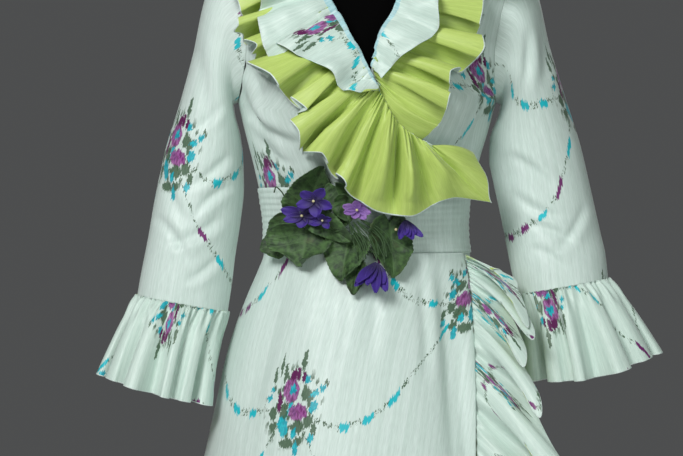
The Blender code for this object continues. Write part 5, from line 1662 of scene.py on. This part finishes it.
def build_form(settings):
    grid = form_grid()
    grid = outside(grid, from_own_axis(grid))
    form = loose_patch(grid, flat_cut(grid, middle_column=grid.shape[1] // 2))
    name_piece(form, "dress_form_cover")
    form.data.materials.append(jersey("knitted_cover", tuple(settings.jersey)))
    merge_doubles(form)
    dress_piece(form, "dress_form")


def turned_bar(name, radius, low, high, sides, rim, material):
    """A round bar or plate, with its two rims bevelled."""
    bpy.ops.object.select_all(action="DESELECT")
    bpy.ops.mesh.primitive_cylinder_add(vertices=sides, radius=radius, depth=high - low, calc_uvs=True)
    thing = bpy.context.object
    name_piece(thing, name)
    edit_whole(thing, (bpy.ops.transform.translate, {"value": (0, 0, (low + high) / 2)}))
    bevel = thing.modifiers.new("rim", "BEVEL")
    bevel.width = rim
    bevel.segments = 4
    bevel.limit_method = "ANGLE"
    bevel.angle_limit = math.radians(50)
    apply_modifiers(thing)
    bpy.ops.object.shade_smooth_by_angle(angle=math.radians(40))
    thing.data.materials.append(material)
    return thing


# Settings


def colour(name, description, value):
    return FloatVectorProperty(
        name=name, description=description, default=value, size=3, min=0.0, max=1.0, subtype="COLOR"
    )


def distance(name, description, value, low, high):
    return FloatProperty(
        name=name, description=description, default=value, min=low, max=high, unit="LENGTH",
        subtype="DISTANCE", precision=4,
    )


def power(name, description, value):
    return FloatProperty(name=name, description=description, default=value, min=0.0, unit="POWER")


class DressPrintSettings(PropertyGroup):
    repeat_width: distance("Repeat width", "Distance between columns of bouquets", 0.200, 0.10, 0.60)
    repeat_height: distance("Repeat height", "Distance between bouquets up the cloth", 0.276, 0.10, 0.80)
    ground: colour("Ground", "Pale mint of the printed cloth", (0.60, 0.72, 0.665))
    ground_light: colour("Ground stripes", "Paler warp stripes of the ground", (0.68, 0.79, 0.745))
    lined_ground: colour("Ruffle ground", "Ground of the printed ruffles", (0.56, 0.70, 0.63))
    lined_light: colour("Ruffle stripes", "Paler stripes of the printed ruffles", (0.64, 0.77, 0.70))
    chartreuse: colour("Chartreuse", "Plain ruffle cloth", (0.455, 0.597, 0.138))
    chartreuse_light: colour("Chartreuse stripes", "Paler warp of the plain cloth", (0.525, 0.66, 0.180))
    binding: colour("Neck binding", "Pale turquoise binding of the neckline", (0.36, 0.62, 0.66))
    binding_light: colour("Binding stripes", "Paler stripes of the binding", (0.52, 0.72, 0.74))
    leaf_dark: colour("Dark leaves", "Darker leaves of the print", (0.020, 0.060, 0.030))
    leaf_light: colour("Light leaves", "Lighter leaves of the print", (0.085, 0.165, 0.080))
    turquoise: colour("Turquoise", "Blooms of the print", (0.01, 0.50, 0.58))
    turquoise_dark: colour("Deep turquoise", "Shaded parts of the blooms", (0.0, 0.33, 0.42))
    mauve: colour("Mauve", "Light petals of the roses", (0.38, 0.11, 0.36))
    purple: colour("Purple", "Dark petals of the roses", (0.17, 0.025, 0.15))
    plum: colour("Plum", "Buds of the print", (0.12, 0.015, 0.09))


class DressClothSettings(PropertyGroup):
    thickness: distance("Cloth thickness", "Thickness of the taffeta", 0.0008, 0.0002, 0.003)
    crease_strength: FloatProperty(
        name="Crease strength", description="How strongly the creases are pressed", default=1.9,
        min=0.0, max=4.0,
    )
    tucks: IntProperty(
        name="Waistband tucks", description="Fine tucks across the waistband", default=11, min=0, max=30
    )


class DressCorsageSettings(PropertyGroup):
    leaf_dark: colour("Leaf shade", "Darker green of the leaves", (0.014, 0.038, 0.011))
    leaf_light: colour("Leaf", "Lighter green of the leaves", (0.062, 0.138, 0.036))
    leaf_vein: colour("Leaf veins", "Pale green of the veins", (0.085, 0.165, 0.055))
    leaf_brown: colour("Leaf blotches", "Browned blotches of the leaves", (0.055, 0.060, 0.018))
    bead: colour("Beads", "Cream of the beads", (0.72, 0.66, 0.42))
    bead_shade: colour("Bead shade", "Darker patches of the beads", (0.55, 0.47, 0.22))
    stem: colour("Stems", "Dark green of the stems", (0.040, 0.095, 0.028))
    stem_radius: distance("Stem radius", "Radius of one wired stem", 0.0008, 0.0003, 0.003)
    violet_deep: colour("Violet throat", "Deep colour of the violets", (0.012, 0.004, 0.062))
    violet_bright: colour("Violet", "Outer colour of the violets", (0.050, 0.020, 0.250))
    pale_deep: colour("Pale throat", "Deep colour of the pale flower", (0.16, 0.07, 0.30))
    pale_bright: colour("Pale petal", "Outer colour of the pale flower", (0.30, 0.155, 0.46))


class DressFormSettings(PropertyGroup):
    jersey: colour("Cover", "Black knitted cover of the form", (0.0004, 0.0004, 0.00045))
    steel: colour("Stand", "Black painted stand", (0.012, 0.012, 0.013))
    pole_radius: distance("Pole radius", "Radius of the upright tube", 0.014, 0.006, 0.04)
    base_radius: distance("Base radius", "Radius of the round base", 0.190, 0.12, 0.30)


class DressStageSettings(PropertyGroup):
    floor: colour("Floor", "Colour of the floor", (0.62, 0.62, 0.61))
    surround: colour("Surround", "Colour around the stage", (0.075, 0.077, 0.078))
    key_power: power("Key light", "Power of the key light", 98.0)
    fill_power: power("Fill light", "Power of the fill light", 28.0)
    rear_power: power("Rear light", "Power of the rear light", 30.0)


# Operators


class DRESS_OT_bodice(Operator):
    """Build the two wrapped fronts and the back of the bodice"""

    bl_idname = "dress.bodice"
    bl_label = "Bodice"

    def execute(self, context):
        fronts = (
            ("bodice_front_left", 0.0, 1, LEFT_EDGE, None),
            ("bodice_front_right", math.pi, -1, RIGHT_EDGE, lap),
        )
        sheets = {name: bodice_front(*shape) for name, *shape in fronts}
        sheets["bodice_back"] = bodice_back()
        for name, grid in sheets.items():
            printed_panel(name, grid, PANEL_CLOTH, "draped", ["dress_form"], closed=True)
        return {"FINISHED"}


class DRESS_OT_waistband(Operator):
    """Build the tucked waistband"""

    bl_idname = "dress.waistband"
    bl_label = "Waistband"

    def execute(self, context):
        printed_panel(
            "waistband", waistband_grid(), BAND_CLOTH, "stretched", ["dress_form"], closed=True,
            straight_row=0,
        )
        return {"FINISHED"}


class DRESS_OT_skirt(Operator):
    """Build the wrapped fronts and the back of the skirt"""

    bl_idname = "dress.skirt"
    bl_label = "Skirt"

    def execute(self, context):
        left_seam, right_seam = SKIRT_SEAM_ANGLE, math.pi - SKIRT_SEAM_ANGLE

        def straight(angle):
            return lambda z: angle + 0 * z

        panels = (
            ("skirt_front_left", straight(left_seam), straight(math.radians(UNDERLAP_ANGLE)), None),
            ("skirt_front_right", skirt_edge_angle, straight(right_seam), lap),
            ("skirt_back", straight(2 * math.pi - right_seam), straight(2 * math.pi - left_seam), None),
        )
        for seed, (name, start, end, layer) in enumerate(panels):
            grid = skirt_grid(start, end, SKIRT_COLUMNS[name], layer, 20 + seed)
            printed_panel(name, grid, PANEL_CLOTH, "hung", ["waistband"])
        return {"FINISHED"}


class DRESS_OT_sleeves(Operator):
    """Build the two creased sleeves"""

    bl_idname = "dress.sleeves"
    bl_label = "Sleeves"

    def execute(self, context):
        sleeves = (
            ("sleeve_right", SLEEVE_RIGHT, -1, SLEEVE_RIGHT_CREASES, "bodice_front_right"),
            ("sleeve_left", SLEEVE_LEFT, 1, SLEEVE_LEFT_CREASES, "bodice_front_left"),
        )
        for seed, (name, table, side, creases, carrier) in enumerate(sleeves):
            grid = sleeve_grid(table, side)[::-1]
            grid = outside(grid, from_own_axis(grid))
            grid = seam_behind(grid)
            grid = press_creases(soften(grid, *SLEEVE_WANDER, 30 + seed), creases)
            grid[:, -1] = grid[:, 0]
            printed_panel(name, grid, PANEL_CLOTH, "hung", [carrier, "bodice_back"], closed=True)
        return {"FINISHED"}


def seam_behind(grid):
    """A closed tube's grid with its seam moved to the column that lies furthest back."""
    back = int(np.argmax(grid[len(grid) // 2, :-1, 1]))
    ring = np.roll(grid[:, :-1], -back, axis=1)
    return np.concatenate([ring, ring[:, :1]], axis=1)


class DRESS_OT_flounces(Operator):
    """Build the gathered, lined flounces at the cuffs"""

    bl_idname = "dress.flounces"
    bl_label = "Cuff flounces"

    def execute(self, context):
        flounces = (
            ("cuff_flounce_right", SLEEVE_RIGHT, FLOUNCE_RIGHT, "sleeve_right"),
            ("cuff_flounce_left", SLEEVE_LEFT, FLOUNCE_LEFT, "sleeve_left"),
        )
        for name, sleeve, hem, carrier in flounces:
            grid = flounce_grid(sleeve[-1], *hem)
            grid[0, :, 2] += TUCKED_IN
            grid = outside(grid, from_body_axis(from_own_axis(grid)))
            gathered_strip(name, grid, LINED_CLOTH, carrier, closed=True)
        return {"FINISHED"}


class DRESS_OT_neck_ruffles(Operator):
    """Build the two fluted chartreuse ruffles round the neckline"""

    bl_idname = "dress.neck_ruffles"
    bl_label = "Neck ruffles"

    def execute(self, context):
        ruffles = (
            ("neck_ruffle_left", NECK_RUFFLE_LEFT, UNDER_RUFFLE_ROOT, None, "bodice_front_left"),
            (
                "neck_ruffle_right", NECK_RUFFLE_RIGHT, OVER_RUFFLE_ROOT, SMOOTH_LOBE,
                "bodice_front_right",
            ),
        )
        for name, table, root, calm, carrier in ruffles:
            grid = ruffle_grid(
                table, root, RUFFLE_FOLD_COLUMNS, RUFFLE_ROWS, **RUFFLE_FLUTES, calm=calm
            )
            gathered_strip(name, outside_body(grid), RUFFLE_CLOTH, carrier)
        return {"FINISHED"}


class DRESS_OT_neck_frills(Operator):
    """Build the two printed frills that lie over the neck ruffles"""

    bl_idname = "dress.neck_frills"
    bl_label = "Neck frills"

    def execute(self, context):
        frills = (
            ("neck_frill_left", NECK_FRILL_LEFT, UNDER_FRILL_ROOT, "neck_ruffle_left"),
            ("neck_frill_right", NECK_FRILL_RIGHT, OVER_FRILL_ROOT, "neck_ruffle_right"),
        )
        for name, table, root, carrier in frills:
            grid = ruffle_grid(table, root, FRILL_FOLD_COLUMNS, FRILL_ROWS, **FRILL_FLUTES)
            grid = outside_body(grid)
            grid = soften(grid + grid_normals(grid) * FRILL_LIFT, *FRILL_WANDER, 80)
            gathered_strip(name, grid, FRILL_CLOTH, carrier, bound_rows=BOUND_ROWS)
        return {"FINISHED"}


class DRESS_OT_skirt_ruffle(Operator):
    """Build the gathered ruffle down the wrap edge of the skirt"""

    bl_idname = "dress.skirt_ruffle"
    bl_label = "Skirt ruffle"

    def execute(self, context):
        grid = outside(skirt_ruffle_grid(), np.array(SKIRT_RUFFLE_OUTWARD))
        gathered_strip("skirt_ruffle", grid, LINED_CLOTH, "skirt_front_right")
        return {"FINISHED"}


class DRESS_OT_leaves(Operator):
    """Build the cloth leaves of the corsage"""

    bl_idname = "dress.leaves"
    bl_label = "Corsage leaves"

    def execute(self, context):
        material = material_once(leaf_cloth, "pressed_leaf", context.scene.dress_corsage)
        for seed, row in enumerate(LEAVES):
            leaf = loose_patch(*leaf_grid(row, seed))
            name_piece(leaf, f"{row[0]}_cloth_{seed}")
            leaf.data.materials.append(material)
            merge_doubles(leaf)
            thicken(leaf, LEAF_THICKNESS)
            dress_piece(leaf, row[0])
        return {"FINISHED"}


class DRESS_OT_violets(Operator):
    """Build the silk violets of the corsage"""

    bl_idname = "dress.violets"
    bl_label = "Corsage violets"

    def execute(self, context):
        for row in VIOLETS:
            build_violet(row, context.scene.dress_corsage)
        return {"FINISHED"}


class DRESS_OT_stems(Operator):
    """Build the thin wired stems of the corsage"""

    bl_idname = "dress.stems"
    bl_label = "Corsage stems"

    def execute(self, context):
        for name, points in STEMS.items():
            build_stems(name, points, context.scene.dress_corsage)
        return {"FINISHED"}


class DRESS_OT_form(Operator):
    """Build the limbless dress form"""

    bl_idname = "dress.form"
    bl_label = "Dress form"

    def execute(self, context):
        build_form(context.scene.dress_form)
        return {"FINISHED"}


class DRESS_OT_stand(Operator):
    """Build the pole and the round base"""

    bl_idname = "dress.stand"
    bl_label = "Stand"

    def execute(self, context):
        settings = context.scene.dress_form
        steel = plain_finish(
            "painted_steel", settings.steel, shaded(settings.steel, 0.6), 1600.0, 0.42, depth=0.0002
        )
        pole_low, pole_high = BASE_HEIGHT + SEAM_GAP, FORM_BOTTOM - SEAM_GAP
        pole = turned_bar(
            "form_pole_tube", settings.pole_radius, pole_low, pole_high, POLE_SIDES, POLE_RIM, steel
        )
        dress_piece(pole, "form_pole")
        base = turned_bar(
            "form_base_plate", settings.base_radius, 0.0, BASE_HEIGHT, BASE_SIDES, BASE_RIM, steel
        )
        dress_piece(base, "form_base")
        return {"FINISHED"}


class DRESS_OT_stage(Operator):
    """Set the floor, the lights, the surround and the camera"""

    bl_idname = "dress.stage"
    bl_label = "Stage"

    def execute(self, context):
        settings = context.scene.dress_stage
        bpy.ops.object.select_all(action="DESELECT")
        bpy.ops.mesh.primitive_plane_add(size=FLOOR_WIDTH, location=(0, 0, 0))
        floor = bpy.context.object
        floor.name = "floor"
        floor.data.materials.append(
            plain_finish("pale_floor", settings.floor, shaded(settings.floor, 0.96), 40.0, 0.8)
        )
        for name, place, size, tint in LIGHTS:
            place_light(name, place, size, getattr(settings, name + "_power"), tint)
        world = bpy.data.worlds.new("surround")
        world.use_nodes = True
        background = world.node_tree.nodes["Background"]
        background.inputs["Color"].default_value = (*settings.surround, 1.0)
        background.inputs["Strength"].default_value = 1.0
        context.scene.world = world
        context.scene.view_settings.view_transform = "Standard"
        camera = bpy.data.objects.new("camera", bpy.data.cameras.new("camera"))
        context.scene.collection.objects.link(camera)
        camera.data.lens = CAMERA_LENS
        camera.location = CAMERA_PLACE
        camera.rotation_euler = (math.pi / 2, 0.0, 0.0)
        context.scene.camera = camera
        return {"FINISHED"}


def place_light(name, place, size, energy, tint):
    bpy.ops.object.light_add(type="AREA", location=place)
    light = bpy.context.object
    light.name = name + "_light"
    light.data.shape = "DISK"
    light.data.size = size
    light.data.energy = energy
    light.data.color = tint
    aim = Vector(LIGHT_AIM) - Vector(place)
    light.rotation_euler = aim.to_track_quat("-Z", "Y").to_euler()


STEPS = (
    DRESS_OT_form, DRESS_OT_stand, DRESS_OT_bodice, DRESS_OT_waistband, DRESS_OT_skirt,
    DRESS_OT_sleeves, DRESS_OT_flounces, DRESS_OT_neck_ruffles, DRESS_OT_neck_frills,
    DRESS_OT_skirt_ruffle, DRESS_OT_leaves, DRESS_OT_violets, DRESS_OT_stems, DRESS_OT_stage,
)
SETTINGS = {
    "dress_print": DressPrintSettings,
    "dress_cloth": DressClothSettings,
    "dress_corsage": DressCorsageSettings,
    "dress_form": DressFormSettings,
    "dress_stage": DressStageSettings,
}


class DRESS_PT_panel(Panel):
    """The dress's settings and the steps that build it"""

    bl_idname = "DRESS_PT_panel"
    bl_label = "Taffeta dress"
    bl_space_type = "VIEW_3D"
    bl_region_type = "UI"
    bl_category = "Dress"

    def draw(self, context):
        for key, group in SETTINGS.items():
            box = self.layout.box()
            for name in group.__annotations__:
                box.prop(getattr(context.scene, key), name)
        for step in STEPS:
            self.layout.operator(step.bl_idname)


def register():
    for group in SETTINGS.values():
        bpy.utils.register_class(group)
    for step in (*STEPS, DRESS_PT_panel):
        bpy.utils.register_class(step)
    for key, group in SETTINGS.items():
        setattr(bpy.types.Scene, key, PointerProperty(type=group))


def unregister():
    for key in SETTINGS:
        delattr(bpy.types.Scene, key)
    for step in (DRESS_PT_panel, *reversed(STEPS)):
        bpy.utils.unregister_class(step)
    for group in SETTINGS.values():
        bpy.utils.unregister_class(group)


def main():
    register()
    for step in STEPS:
        family, name = step.bl_idname.split(".")
        getattr(getattr(bpy.ops, family), name)()


if __name__ == "__main__":
    main()
